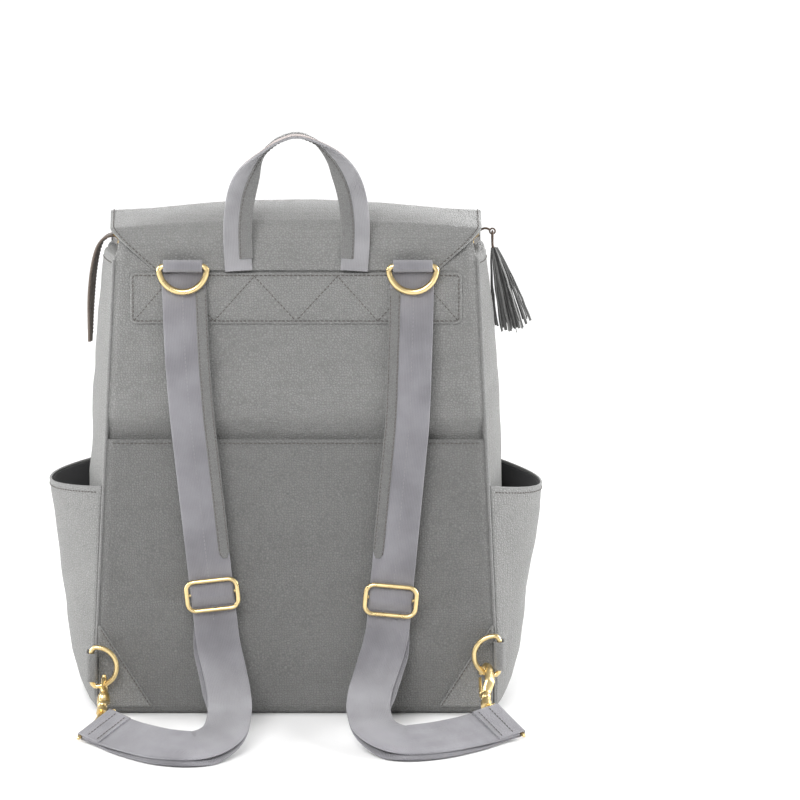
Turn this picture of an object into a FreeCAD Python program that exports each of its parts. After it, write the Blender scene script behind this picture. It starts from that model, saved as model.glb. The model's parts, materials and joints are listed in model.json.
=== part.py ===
import FreeCAD, Part
import math
import os

V = FreeCAD.Vector
os.makedirs("parts", exist_ok=True)

# ---------------------------------------------------------------- dimensions
# Millimetres. X right as seen from behind the bag, back at -Y, front at +Y,
# Z up, origin on the floor under the middle of the base.
HALF_W_LOW = 170.0      # half width of the back and front panels up to Z_TAPER
HALF_W_TOP = 153.0      # half width at the mouth
Z_TAPER = 70.0
HALF_D_LOW = 82.0       # half depth at the floor
HALF_D_TOP = 65.0       # half depth at the mouth
Z_TOP = 394.0           # mouth of the bag, top of panels and gussets
BASE_R = 12.0           # rounding where the walls turn under
LEATHER = 2.4           # leather and backing
GUSSET_BULGE = [(0, 6.0), (60, 10.0), (150, 14.0), (260, 16.5), (340, 15.0), (394, 10.5)]
POCKET_BULGE = [(3, 9.6), (20, 17.5), (42, 23.5), (83, 29.5), (147, 40.5), (198, 48.5)]
POCKET_TOP = 198.0
POCKET_WALL = 2.0
POCKET_DIP = {-1: 6.0, 1: 10.0}
SLIP_TOP = 240.0        # mouth of the back slip pocket
SLIP_GAP = 5.4          # how far its mouth stands open
BAND_Z = (339.0, 382.6)
BAND_HALF = 140.0
FLAP_Z = 418.0          # level of the flap's top at its edges
FLAP_DOME = 15.0
FLAP_T = 2.4
FLAP_CORNER_Z = 243.0
FLAP_TIP_Z = 211.0
FLAP_OFF = 3.6          # flap front stands this far off the front panel
ZIP_Z = 176.0           # front zipper's centre line
STRAP_W = 37.0
STRAP_T = 1.8
TRIM_W = 9.5
WIRE = 2.4              # radius of the upper rings' wire
RING_Y = -77.0
RING_Z = 389.6
CORNER_Y = -92.0


def lerp(table, z):
    if z <= table[0][0]:
        return table[0][1]
    for (z0, v0), (z1, v1) in zip(table, table[1:]):
        if z <= z1:
            return v0 + (v1 - v0) * (z - z0) / (z1 - z0)
    return table[-1][1]


def inset(z):
    if z >= BASE_R:
        return 0.0
    return BASE_R - math.sqrt(max(0.0, BASE_R**2 - (BASE_R - z) ** 2))


def half_w(z):
    w = HALF_W_LOW if z < Z_TAPER else HALF_W_LOW + (HALF_W_TOP - HALF_W_LOW) * (z - Z_TAPER) / (Z_TOP - Z_TAPER)
    return w - inset(z)


def half_d(z):
    return HALF_D_LOW + (HALF_D_TOP - HALF_D_LOW) * z / Z_TOP - inset(z)


def tri(a, b, c):
    return Part.Face(Part.makePolygon([a, b, c, a]))


def quad(a, b, c, d):
    """Two triangles, or one when an edge has closed up."""
    out = []
    if (a - b).cross(c - a).Length > 1e-6:
        out.append(tri(a, b, c))
    if (c - d).cross(a - c).Length > 1e-6:
        out.append(tri(a, c, d))
    return out


def slab(outer, inner):
    """Closed solid between two grids of points of the same size."""
    n, m = len(outer), len(outer[0])
    faces = []
    for i in range(n - 1):
        for j in range(m - 1):
            faces += quad(outer[i][j], outer[i + 1][j], outer[i + 1][j + 1], outer[i][j + 1])
            faces += quad(inner[i][j], inner[i][j + 1], inner[i + 1][j + 1], inner[i + 1][j])
    for i in range(n - 1):
        faces += quad(outer[i][0], inner[i][0], inner[i + 1][0], outer[i + 1][0])
        faces += quad(outer[i][m - 1], outer[i + 1][m - 1], inner[i + 1][m - 1], inner[i][m - 1])
    for j in range(m - 1):
        faces += quad(outer[0][j], outer[0][j + 1], inner[0][j + 1], inner[0][j])
        faces += quad(outer[n - 1][j], inner[n - 1][j], inner[n - 1][j + 1], outer[n - 1][j + 1])
    shell = Part.Shell(faces)
    if not shell.isClosed():
        shell = Part.makeShell(faces)
        shell.sewShape()
    solid = Part.Solid(shell)
    if solid.Volume < 0:
        solid.reverse()
    return solid


def unit(v):
    w = V(v)
    w.normalize()
    return w


def catmull(points, per):
    """Smooth run through the points: per steps between neighbours."""
    out = []
    n = len(points)
    for i in range(n - 1):
        p0 = points[max(i - 1, 0)]
        p1, p2 = points[i], points[i + 1]
        p3 = points[min(i + 2, n - 1)]
        for k in range(per):
            t = k / per
            out.append(
                [
                    0.5 * (2 * b + (c - a) * t + (2 * a - 5 * b + 4 * c - d) * t * t + (3 * b - a - 3 * c + d) * t**3)
                    for a, b, c, d in zip(p0, p1, p2, p3)
                ]
            )
    out.append(list(points[-1]))
    return out


def strip(route, per, width, thick, lateral=0.0, lift=0.0):
    """Flat webbing along route: rows of x, y, z, ux, uy, uz, u being the direction of its width."""
    rows = catmull(route, per) if per > 1 else [list(r) for r in route]
    outer, inner = [], []
    for i, r in enumerate(rows):
        c = V(*r[:3])
        a = V(*rows[max(i - 1, 0)][:3])
        b = V(*rows[min(i + 1, len(rows) - 1)][:3])
        t = unit(b - a)
        u = V(*r[3:6])
        u = unit(u - t * t.dot(u))
        n = unit(t.cross(u))
        o = c + u * lateral + n * lift
        outer.append([o - u * (width / 2) + n * (thick / 2), o + u * (width / 2) + n * (thick / 2)])
        inner.append([o - u * (width / 2) - n * (thick / 2), o + u * (width / 2) - n * (thick / 2)])
    return slab(outer, inner)


def frame_of(origin, x, y, z):
    """Placement that carries local axes onto x, y, z."""
    m = FreeCAD.Matrix(x.x, y.x, z.x, origin.x, x.y, y.y, z.y, origin.y, x.z, y.z, z.z, origin.z, 0, 0, 0, 1)
    return FreeCAD.Placement(m)


def placed(shape, placement):
    s = shape.copy()
    s.Placement = placement.multiply(s.Placement)
    return s


def cyl(a, b, r):
    d = b - a
    return Part.makeCylinder(r, d.Length, a, d)


def fuse(shapes):
    s = shapes[0].multiFuse(shapes[1:]) if len(shapes) > 1 else shapes[0]
    return s.removeSplitter()


parts = {}

# ------------------------------------------------------------ bag shell
ROWS = [0.3, 1.5, 3.5, 7.0, 12.0, 40.0, 70.0, 130.0, 190.0, 240.0, 300.0, 350.0, Z_TOP]


def wall(side, zs, offs, t=LEATHER, edge=1.0, cols=2):
    """Panel facing -Y (side -1) or +Y; offs(z) moves it into the bag."""
    outer, inner = [], []
    for z in zs:
        w = half_w(z) + (edge(z) if callable(edge) else edge)
        y = half_d(z) - offs(z)
        xs = [-w + 2 * w * k / (cols - 1) for k in range(cols)]
        outer.append([V(x, side * y, z) for x in xs])
        inner.append([V(x, side * (y - t), z) for x in xs])
    return slab(outer, inner)


def back_off(z):
    """The back panel lies behind the slip pocket, and comes flush above its mouth."""
    deep = SLIP_GAP + POCKET_WALL
    if z <= 232:
        return deep
    if z >= 266:
        return 0.0
    return deep * (266 - z) / 34.0


parts["back_panel"] = wall(-1, [12.0, 40.0, 70.0, 130.0, 190.0, 232.0, 249.0, 266.0, 267.5, 300.0, 350.0, Z_TOP], back_off,
                           edge=lambda z: 1.0 if z > 267 else -(LEATHER + 0.7))
parts["back_slip_pocket"] = wall(-1, [0.3, 1.5, 3.5, 7.0, 12.0, 40.0, 70.0, 130.0, 190.0, SLIP_TOP], lambda z: 0.0, POCKET_WALL)
parts["front_upper_panel"] = wall(1, [ZIP_Z + 6.0, 240.0, 300.0, 350.0, Z_TOP], lambda z: 0.0)
parts["front_pocket_panel"] = wall(1, [0.3, 1.5, 3.5, 7.0, 12.0, 40.0, 70.0, 130.0, ZIP_Z - 6.0], lambda z: 0.0)
parts["front_pocket_lining"] = wall(1, [14.0, 70.0, 130.0, 190.0, 205.0], lambda z: 8.2, 0.8, edge=-4.0)

T9 = [-1.0, -0.85, -0.6, -0.3, 0.0, 0.3, 0.6, 0.85, 1.0]


def bow(t, k=2.2):
    return 1.0 - abs(t) ** k


def gusset(side):
    outer, inner = [], []
    for z in ROWS:
        d = half_d(z) - LEATHER - 0.5
        g = lerp(GUSSET_BULGE, z)
        w = half_w(z)
        outer.append([V(side * (w + g * bow(t)), d * t, z) for t in T9])
        inner.append([V(side * (w + g * bow(t) - LEATHER), (d) * t, z) for t in T9])
    return slab(outer, inner)


def side_pocket(side):
    outer, inner = [], []
    for z in [3.0, 8.0, 20.0, 42.0, 83.0, 147.0, POCKET_TOP]:
        d = half_d(z) - LEATHER - 0.5
        p = lerp(POCKET_BULGE, z)
        w = half_w(z) + 0.6 + POCKET_WALL
        w = max(w, half_w(z) + 0.6 + POCKET_WALL)
        dip = POCKET_DIP[side] if z == POCKET_TOP else 0.0      # the rim sinks where it stands furthest out
        outer.append([V(side * (w + p * bow(t)), d * t, z - dip * bow(t)) for t in T9])
        inner.append([V(side * (w + p * bow(t) - POCKET_WALL), d * t, z - dip * bow(t)) for t in T9])
    return slab(outer, inner)


for name, side in (("left", -1), ("right", 1)):
    parts["gusset_" + name] = gusset(side)
    parts["side_pocket_" + name] = side_pocket(side)

parts["base_panel"] = Part.makeBox(315, 138, 2.4, V(-157.5, -69, 0))
parts["base_board"] = Part.makeBox(312, 126, 2.4, V(-156, -63, 2.9))


def lining():
    """Open-topped bag inside the panels."""
    def ring(z, k):
        w, d = half_w(max(z, 13.0)) - 4.6 - k, half_d(max(z, 13.0)) - 11.6 - k
        return Part.makePolygon([V(-w, -d, z), V(w, -d, z), V(w, d, z), V(-w, d, z), V(-w, -d, z)])

    outer = Part.makeLoft([ring(5.9, 0), ring(70.0, 0)], True, True).fuse(Part.makeLoft([ring(70.0, 0), ring(395.4, 0)], True, True))
    hollow = Part.makeLoft([ring(6.9, 0.9), ring(70.0, 0.9)], True, True).fuse(
        Part.makeLoft([ring(70.0, 0.9), ring(396.4, 0.9)], True, True))
    return outer.cut(hollow).removeSplitter()


parts["lining"] = lining()

# reinforcement band across the back, under the flap's sewn edge
def flat_on_back(xz, off, t):
    """Prism of a convex outline lying off mm outside the back panel's plane."""
    o = [V(x, -half_d(z) - off - t, z) for x, z in xz]
    i = [V(x, -half_d(z) - off, z) for x, z in xz]
    faces = [Part.Face(Part.makePolygon(o + [o[0]])), Part.Face(Part.makePolygon(i + [i[0]]))]
    n = len(xz)
    for k in range(n):
        faces += quad(o[k], o[(k + 1) % n], i[(k + 1) % n], i[k])
    s = Part.Solid(Part.Shell(faces))
    if s.Volume < 0:
        s.reverse()
    return s


z0, z1 = BAND_Z
r = 3.5
parts["reinforcement_band"] = flat_on_back(
    [(-BAND_HALF + r, z0), (BAND_HALF - r, z0), (BAND_HALF, z0 + r), (BAND_HALF, z1 - r), (BAND_HALF - r, z1),
     (-BAND_HALF + r, z1), (-BAND_HALF, z1 - r), (-BAND_HALF, z0 + r)], 0.4, 1.6)
for name, s in (("left", -1), ("right", 1)):
    parts["corner_patch_" + name] = flat_on_back(
        [(s * 168.0, 13.0), (s * 122.0, 13.0), (s * 168.0, 72.0)][:: (1 if s < 0 else -1)], 0.4, 1.4)

# ------------------------------------------------------------ flap
parts["flap_back"] = flat_on_back(
    [(-119.7, 384.4), (119.7, 384.4), (148.0, 410.0), (151.4, 413.0), (-151.4, 413.0), (-148.0, 410.0)],
    0.4, 2.2)

XF = [-1.0, -0.85, -0.6, -0.3, 0.0, 0.3, 0.6, 0.85, 1.0]
outer, inner = [], []
for k in range(9):
    y = -64.0 + 128.0 * k / 8
    w = 157.0 + 5.0 * k / 8
    row_o, row_i = [], []
    for f in XF:
        z = FLAP_Z + FLAP_DOME * (1 - f * f) * (1 - (y / 66.0) ** 4)
        row_o.append(V(f * w, y, z))
        row_i.append(V(f * w, y, z - FLAP_T))
    outer.append(row_o)
    inner.append(row_i)
parts["flap_top"] = slab(outer, inner)

outer, inner = [], []
for k in range(7):
    s = k / 6
    row_o, row_i = [], []
    for f in XF:
        zb = FLAP_CORNER_Z - (FLAP_CORNER_Z - FLAP_TIP_Z) * (1 - abs(f))
        z = 413.6 + (zb - 413.6) * s
        w = 162.0 + 5.0 * (413.6 - z) / (413.6 - FLAP_CORNER_Z)
        y = half_d(z) + FLAP_OFF
        row_o.append(V(f * w, y + FLAP_T, z))
        row_i.append(V(f * w, y, z))
    outer.append(row_o)
    inner.append(row_i)
parts["flap_front"] = slab(outer, inner)

# magnetic snap: half on the bag, half on the flap
SNAP_Z = 232.0
tilt = math.atan((HALF_D_LOW - HALF_D_TOP) / Z_TOP)
nrm = V(0, math.cos(tilt), math.sin(tilt))
at = V(0, half_d(SNAP_Z), SNAP_Z)
parts["magnet_snap_bag"] = fuse([Part.makeCylinder(9.0, 0.8, at + nrm * 0.2, nrm), Part.makeCylinder(6.5, 0.8, at + nrm * 1.0, nrm)])
parts["magnet_snap_flap"] = Part.makeCylinder(9.0, 1.1, at + nrm * 2.3, nrm)

# ------------------------------------------------------------ handle
HX = 0.5
HY = -71.0
# centre line of the arch and the direction of the webbing's width along it
arch = [
    (-48.5, HY, 384.8, 1, 0, 0), (-49.8, HY, 405, 1, 0, 0), (-49.8, HY - 0.6, 426, 1, 0, 0.05), (-47.0, HY - 1.5, 448, 0.97, 0.12, 0.16),
    (-41.5, HY - 2.0, 465, 0.84, 0.42, 0.30), (-32.5, HY - 1.8, 480, 0.52, 0.80, 0.25), (-19.0, HY - 0.8, 492, 0.18, 0.98, 0.08),
    (-7.0, HY - 0.2, 497.5, 0.04, 1, 0.01), (0.0, HY, 498.5, 0, 1, 0),
]
arch = [(x + HX, y, z, a, b, c) for x, y, z, a, b, c in arch]
arch_full = arch + [(2 * HX - x, y, z, -a, b, -c) if b > 0.5 else (2 * HX - x, y, z, -a, b, -c) for x, y, z, a, b, c in arch[-2::-1]]
# past the top the width keeps turning the same way, so its sign is kept continuous
fixed = []
for i, r6 in enumerate(arch_full):
    u = V(*r6[3:])
    if i and u.dot(V(*fixed[-1][3:])) < 0:
        u = u * -1
    fixed.append((*r6[:3], u.x, u.y, u.z))
# the far leg: its width lies along X again, reached through the same half turn
arch_route = fixed[:9] + [(2 * HX - x, y, z, -a, b, -c) for x, y, z, a, b, c in arch[-2::-1]]
parts["handle_webbing"] = strip(arch_route, 3, 23.0, 1.8)
parts["handle_leather"] = strip(arch_route, 3, 10.5, 1.1, lateral=6.0, lift=-2.0)

# ------------------------------------------------------------ shoulder straps
# upper run: from under the reinforcement band down through the slide
UPPER = {
    "left": [(-95.0, -71.5, 383.0), (-94.0, -72.0, 366.0), (-93.0, -78.5, 340.0), (-91.5, -84.0, 310.0), (-89.0, -86.0, 276.0),
             (-87.0, -87.0, 255.0), (-71.0, -91.5, 110.0), (-68.5, -92.2, 87.0)],
    "right": [(98.0, -71.5, 383.0), (97.5, -72.0, 366.0), (97.0, -78.5, 340.0), (96.0, -84.0, 310.0), (95.0, -86.0, 276.0),
              (94.0, -87.0, 255.0), (80.5, -91.5, 105.0), (78.5, -92.2, 82.0)],
}
LOWER = {
    # down from the slide, a turn in the webbing's own plane on the floor, back to the snap hook
    "left": [(-68.2, -92.5, 85.4, 1, 0, 0.1), (-65.5, -97.0, 66.0, 1, 0.02, 0.05), (-60.5, -111.0, 48.0, 1, 0.05, 0.02), (-56.5, -134.0, 35.0, 1, 0.0, 0.0),
             (-55.5, -163.0, 25.0, 0.99, -0.10, -0.03), (-61.0, -192.0, 16.5, 0.84, -0.50, -0.20), (-80.0, -213.0, 13.0, 0.36, -0.86, -0.36),
             (-108.0, -210.0, 12.6, -0.22, -0.88, -0.42), (-134.0, -191.0, 12.6, -0.52, -0.75, -0.42), (-152.0, -172.0, 12.6, -0.56, -0.72, -0.42), (-165.5, -155.0, 12.8, -0.56, -0.72, -0.42)],
    "right": [(78.3, -92.5, 79.6, 1, 0, -0.1), (74.5, -97.0, 63.0, 1, -0.02, -0.05), (68.0, -110.0, 46.0, 1, -0.05, -0.02), (62.5, -131.0, 34.0, 1, 0.0, 0.0),
              (61.0, -156.0, 24.5, 0.99, 0.10, 0.03), (67.5, -181.0, 17.0, 0.84, 0.50, 0.20), (87.0, -198.0, 13.2, 0.36, 0.86, 0.36),
              (114.0, -193.0, 13.0, -0.20, 0.88, 0.43), (141.0, -177.0, 13.2, -0.48, 0.76, 0.44), (161.0, -161.0, 13.6, -0.54, 0.71, 0.46), (176.5, -147.0, 14.2, -0.54, 0.70, 0.47)],
}
SLIDE_AT = {"left": V(-71.0, -91.5, 110.0), "right": V(80.5, -91.5, 105.0)}


def upper_route(name):
    pts = UPPER[name]
    out = []
    for i, p in enumerate(pts):
        a, b = V(*pts[max(i - 1, 0)]), V(*pts[min(i + 1, len(pts) - 1)])
        t = unit(b - a)
        u = V(1, 0, 0)
        u = unit(u - t * t.dot(u))
        out.append((*p, u.x, u.y, u.z))
    return out


def run_frame(name):
    """Directions of the straight run the slide travels on: along it upwards, across it, and out of its face."""
    a, b = V(*UPPER[name][6]), V(*UPPER[name][5])
    t = unit(b - a)
    u = unit(V(1, 0, 0) - t * t.x)
    n = unit(u.cross(t))
    return t, u, n


for name, s in (("left", -1), ("right", 1)):
    parts["strap_upper_" + name] = strip(upper_route(name), 1, STRAP_W, STRAP_T)
    # leather edging on the side towards the middle of the back
    trim = [r6 for r6 in upper_route(name)]
    full = []
    for a, b in zip(trim, trim[1:]):
        full.append(a)
        if b[2] < 140:
            k = (a[2] - 140.0) / (a[2] - b[2])
            full.append(tuple(p + (q - p) * k for p, q in zip(a, b)))
            break
    full = full[1:]
    parts["strap_trim_" + name] = strip(full, 1, TRIM_W, 1.0, lateral=-s * (STRAP_W / 2 - TRIM_W / 2 + 0.4), lift=(STRAP_T / 2 + 0.6))
    parts["strap_lower_" + name] = strip(LOWER[name], 3, STRAP_W, STRAP_T)
    parts["strap_return_" + name] = strip(LOWER[name][:-1], 3, STRAP_W - 0.6, STRAP_T, lift=-(STRAP_T + 0.6))

    # loop of webbing that holds the upper ring
    xr = UPPER[name][0][0]
    c = V(xr, RING_Y, RING_Z)
    roll = Part.makeCylinder(5.4, 33.0, c - V(16.5, 0, 0), V(1, 0, 0))
    tail = Part.makeBox(33.0, 5.6, 3.2, V(xr - 16.5, -74.6, 386.6))
    hole = Part.makeCylinder(WIRE + 0.35, 34.0, c - V(17.0, 0, 0), V(1, 0, 0))
    parts["ring_loop_" + name] = roll.fuse(tail).cut(hole).removeSplitter()

    # upper ring: bar in the loop and a round bow below it
    hb, drop = 20.0, 22.0
    R = (hb**2 + drop**2) / (2 * drop)
    cz = -(drop - R)
    a0 = math.degrees(math.atan2(0 - cz, hb))
    tor = Part.makeTorus(R, WIRE, V(0, 0, 0), V(0, 0, 1), -180, 180, 180 + 2 * a0)
    tor = placed(tor, FreeCAD.Placement(V(0, 0, 0), FreeCAD.Rotation(V(0, 0, 1), 180 - a0)))
    tor = placed(tor, frame_of(c + V(0, 0, cz), V(1, 0, 0), V(0, 0, 1), V(0, -1, 0)))
    bar = cyl(c - V(hb, 0, 0), c + V(hb, 0, 0), WIRE)
    parts["d_ring_" + name] = fuse([tor, bar, Part.makeSphere(WIRE, c - V(hb, 0, 0)), Part.makeSphere(WIRE, c + V(hb, 0, 0))])

    # slide: rounded frame whose end bars lie over the strap and whose middle bar lies under it
    t, u, n = run_frame(name)
    o = SLIDE_AT[name]
    if n.y > 0:
        n = n * -1
    w2, h2, rr = 21.6, 12.6, 1.9
    up, dn = n * 4.5, n * -3.2
    pc = [o + up + u * (sx * (w2 - 4)) + t * (sy * h2) for sx, sy in ((-1, -1), (1, -1))]
    bars = []
    corner = 4.0
    for sy in (-1, 1):
        bars.append(cyl(o + up - u * (w2 - corner) + t * (sy * h2), o + up + u * (w2 - corner) + t * (sy * h2), rr))
    for sx in (-1, 1):
        bars.append(cyl(o + up + u * (sx * w2) - t * (h2 - corner), o + up + u * (sx * w2) + t * (h2 - corner), rr))
        for sy in (-1, 1):
            cc = o + up + u * (sx * (w2 - corner)) + t * (sy * (h2 - corner))
            x_ax, y_ax = u * sx, t * sy
            z_ax = x_ax.cross(y_ax)
            q = Part.makeTorus(corner, rr, V(0, 0, 0), V(0, 0, 1), -180, 180, 90)
            bars.append(placed(q, frame_of(cc, x_ax, y_ax, z_ax)))
        bars.append(cyl(o + up + u * (sx * w2), o + dn + u * (sx * w2), 1.5))
        bars.append(Part.makeSphere(1.5, o + dn + u * (sx * w2)))
    bars.append(cyl(o + dn - u * w2, o + dn + u * w2, 1.5))
    parts["slide_" + name] = fuse(bars)

# ------------------------------------------------------------ lower corners: loop, ring, snap hook
HOOKS = {}
TURN = {"left": 0.0, "right": -150.0}
CORNER = {
    # bar centre of the ring, direction of the hook from the ring towards the strap, strap eye's direction
    "left": (V(-174.5, CORNER_Y, 46.0), V(-0.06, -0.87, -0.36)),
    "right": (V(173.5, CORNER_Y, 56.0), V(0.10, -0.80, -0.52)),
}
for name, s in (("left", -1), ("right", 1)):
    c, down = CORNER[name]
    hb, bulge, rw = 16.5, 21.5, 2.1
    R = (hb**2 + bulge**2) / (2 * bulge)
    off = bulge - R
    a0 = math.degrees(math.atan2(off, hb))
    inward = V(-s, 0, 0)
    # local x along the bar (Z), local y inwards
    lx, ly = V(0, 0, 1), inward
    lz = lx.cross(ly)
    tor = Part.makeTorus(R, rw, V(0, 0, 0), V(0, 0, 1), -180, 180, 180 + 2 * a0)
    tor = placed(tor, FreeCAD.Placement(V(0, 0, 0), FreeCAD.Rotation(V(0, 0, 1), -a0)))
    tor = placed(tor, frame_of(c + inward * off, lx, ly, lz))
    parts["corner_ring_" + name] = fuse([tor, cyl(c - V(0, 0, hb), c + V(0, 0, hb), rw), Part.makeSphere(rw, c - V(0, 0, hb)), Part.makeSphere(rw, c + V(0, 0, hb))])
    # leather loop round the bar, its tail running back to the seam
    roll = Part.makeCylinder(4.7, 25.0, c - V(0, 0, 12.5), V(0, 0, 1))
    tail = Part.makeBox(3.0, 12.0, 25.0, V(c.x + (s * 1.4 if s > 0 else s * 1.4 - 3.0), c.y, c.z - 12.5))
    hole = Part.makeCylinder(rw + 0.35, 26.0, c - V(0, 0, 13.0), V(0, 0, 1))
    parts["corner_loop_" + name] = roll.fuse(tail).cut(hole).removeSplitter()

    # snap hook: its bow lies across the ring's lowest wire
    away = 8.0 if s > 0 else 6.0
    p = c + inward * (off + away) - V(0, 0, math.sqrt(R * R - away * away))
    a = unit(down * -1)
    cx = V(1, 0, 0)
    a = unit(a - cx * a.dot(cx))
    b = unit(cx.cross(a))       # points up and towards the viewer's side
    if b.z < 0:
        b = b * -1
    rh, RB = 2.3, 7.4
    C = p - a * 1.0
    b = FreeCAD.Rotation(a, TURN[name]).multVec(b)
    arc = placed(Part.makeTorus(RB, rh, V(0, 0, 0), V(0, 0, 1), -180, 180, 152),
                 frame_of(C, b * -1, a, (b * -1).cross(a)))
    spine = cyl(C - b * RB, C - b * RB - a * 18.0, rh)
    tip_ang = math.radians(152)
    tip = C - b * (RB * math.cos(tip_ang)) + a * (RB * math.sin(tip_ang))
    neck = cyl(C - b * RB - a * 18.0, C - b * 0.5 - a * 24.5, rh)
    stub = cyl(C - b * 0.5 - a * 24.5, C + b * RB - a * 20.0, rh)
    block = cyl(C - b * 0.2 - a * 23.0, C - b * 0.2 - a * 32.0, 3.6)
    parts["hook_body_" + name] = fuse([arc, spine, neck, stub, block, Part.makeSphere(rh, C - b * RB - a * 18.0),
                                       Part.makeSphere(rh, tip), Part.makeSphere(rh, C + b * RB - a * 20.0)])
    # gate: closes the bow from the stub to the arc's tip
    g0 = C + b * RB - a * 16.2
    g1 = tip - a * 3.8 + b * 0.8
    parts["hook_gate_" + name] = fuse([cyl(g0, g1, 1.4), Part.makeSphere(1.4, g0), Part.makeSphere(1.4, g1)])
    HOOKS[name] = (C, a, b, C - b * 0.2 - a * 32.6, g0)

for name in ("left", "right"):
    C, a, b, base, g0 = HOOKS[name]
    e = unit(V(*LOWER[name][-1][3:]))
    ec = V(*LOWER[name][-1][:3])
    t = unit(ec - V(*LOWER[name][-2][:3]))
    e = unit(e - t * e.dot(t))
    q = 1.6
    # the eye's outer bar lies just past the webbing's end, which is sewn round it
    far = ec + t * 3.0
    near = far + unit((base - a * 4.0) - far) * 8.0
    near = near - e * (near - far).dot(e) * 0.5
    hw = STRAP_W / 2 + 1.6
    eye = [cyl(near - e * (hw - 6), near + e * (hw - 6), q), cyl(far - e * hw, far + e * hw, q), cyl(near - e * (hw - 6), far - e * hw, q), cyl(near + e * (hw - 6), far + e * hw, q),
           Part.makeSphere(q, near - e * (hw - 6)), Part.makeSphere(q, near + e * (hw - 6)), Part.makeSphere(q, far - e * hw), Part.makeSphere(q, far + e * hw)]
    collar = cyl(base, base - a * 5.0, 4.6)
    stem = cyl(base - a * 4.0, near, 2.0)
    parts["hook_swivel_" + name] = fuse([collar, stem, Part.makeSphere(2.0, base - a * 4.0)] + eye)
    print("hook", name, "C", C, "a", a, "b", b, "base", base, "gate", g0, "ring", CORNER[name][0])

# ------------------------------------------------------------ front zipper
tape_o, tape_i, teeth_o, teeth_i = [], [], [], []
for z, lo, hi in ((ZIP_Z - 5.4, 0, 0), (ZIP_Z + 5.4, 0, 0)):
    y = half_d(z)
    tape_o.append([V(-157, y - 1.2, z), V(157, y - 1.2, z)])
    tape_i.append([V(-157, y - 2.2, z), V(157, y - 2.2, z)])
for z in (ZIP_Z - 2.3, ZIP_Z + 2.3):
    y = half_d(z)
    teeth_o.append([V(-153, y + 0.6, z), V(153, y + 0.6, z)])
    teeth_i.append([V(-153, y - 1.1, z), V(153, y - 1.1, z)])
parts["front_zipper_tape"] = slab(tape_o, tape_i)
parts["front_zipper_teeth"] = slab(teeth_o, teeth_i)
SX = 147.0
SY = half_d(ZIP_Z)
body = Part.makeBox(10.0, 2.0, 8.6, V(SX - 5, SY + 1.1, ZIP_Z - 4.3))
body = body.makeFillet(0.6, body.Edges)
posts = [Part.makeBox(1.4, 4.2, 3.0, V(SX + k - 0.7, SY + 2.6, ZIP_Z - 1.5)) for k in (-4.0, 4.0)]
pin = cyl(V(SX - 4.6, SY + 5.6, ZIP_Z), V(SX + 4.6, SY + 5.6, ZIP_Z), 0.8)
parts["front_zipper_slider"] = fuse([body] + posts + [pin])
pull = Part.makeBox(6.0, 1.6, 32.4, V(SX - 3.0, SY + 4.8, ZIP_Z - 31.0))
pull = pull.makeFillet(0.6, pull.Edges)
eye = Part.makeCylinder(2.1, 6.0, V(SX - 3.0, SY + 5.6, ZIP_Z), V(1, 0, 0))
parts["front_zipper_pull"] = pull.fuse(eye).cut(Part.makeCylinder(1.15, 12.0, V(SX - 6.0, SY + 5.6, ZIP_Z), V(1, 0, 0))).removeSplitter()

# ------------------------------------------------------------ main zipper, unzipped along the mouth's rim
half = [(158.0, 1.8), (154.0, 16.0), (149.0, 36.0), (141.0, 50.0), (128.0, 53.0), (-128.0, 53.0), (-141.0, 50.0), (-149.0, 36.0), (-154.0, 16.0), (-158.0, 1.8)]
tapes, teeth = [], []
for s in (-1, 1):
    for store, z_lo, z_hi, t in ((tapes, 396.2, 405.0, 0.9), (teeth, 405.2, 408.6, 2.6)):
        o, i = [], []
        for k, (x, y) in enumerate(half):
            x0, y0 = half[max(k - 1, 0)]
            x1, y1 = half[min(k + 1, len(half) - 1)]
            d = unit(V(x1 - x0, y1 - y0, 0))
            nn = V(d.y, -d.x, 0)
            tt = t if store is tapes or 1 < k < len(half) - 2 else 1.4
            o.append([V(x + nn.x * tt / 2, s * (y + nn.y * tt / 2), z) for z in (z_lo, z_hi)])
            i.append([V(x - nn.x * tt / 2, s * (y - nn.y * tt / 2), z) for z in (z_lo, z_hi)])
        store.append(slab(o, i))
parts["main_zipper_tape"] = Part.makeCompound(tapes)
parts["main_zipper_teeth"] = Part.makeCompound(teeth)
mb = Part.makeBox(9.0, 8.4, 6.6, V(158.8, -4.2, 402.4))
mb = mb.makeFillet(0.8, mb.Edges)
lug = Part.makeBox(3.4, 1.6, 5.1, V(167.2, -0.8, 405.4))
lug = lug.cut(Part.makeCylinder(1.6, 6.0, V(168.9, -3.0, 408.0), V(0, 1, 0)))
parts["main_zipper_slider"] = mb.fuse(lug).removeSplitter()

# tassel: cord loop through the slider's lug, cap and strands
TZ = 408.0
loop = Part.makeTorus(4.6, 0.8, V(168.9, 0, TZ - 4.6), V(1, 0, 0))
loop = loop.fuse(Part.makeBox(2.0, 3.0, 5.0, V(168.4, -1.5, TZ - 13.4)))
parts["tassel_loop"] = loop.removeSplitter()
parts["tassel_cap"] = Part.makeCone(3.0, 5.2, 8.0, V(170.4, 0, TZ - 13.8), V(0.17, 0, -1))
parts["tassel_strands"] = Part.makeCone(5.2, 11.0, 66.0, V(172.0, 0, TZ - 22.2), V(0.22, 0, -1))

# leather tail that ends the main zipper at the other side
tail = [(-160.0, 0, 404.4, 0, 1, 0), (-165.0, 0, 404.2, 0, 1, 0), (-171.0, 0, 400.5, 0, 1, 0), (-173.8, 0, 392.0, 0, 1, 0), (-176.4, 0, 352.0, 0, 1, 0), (-177.2, 0, 312.0, 0, 1, 0)]
parts["zipper_tail"] = strip(tail, 2, 15.0, 2.0)

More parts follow.
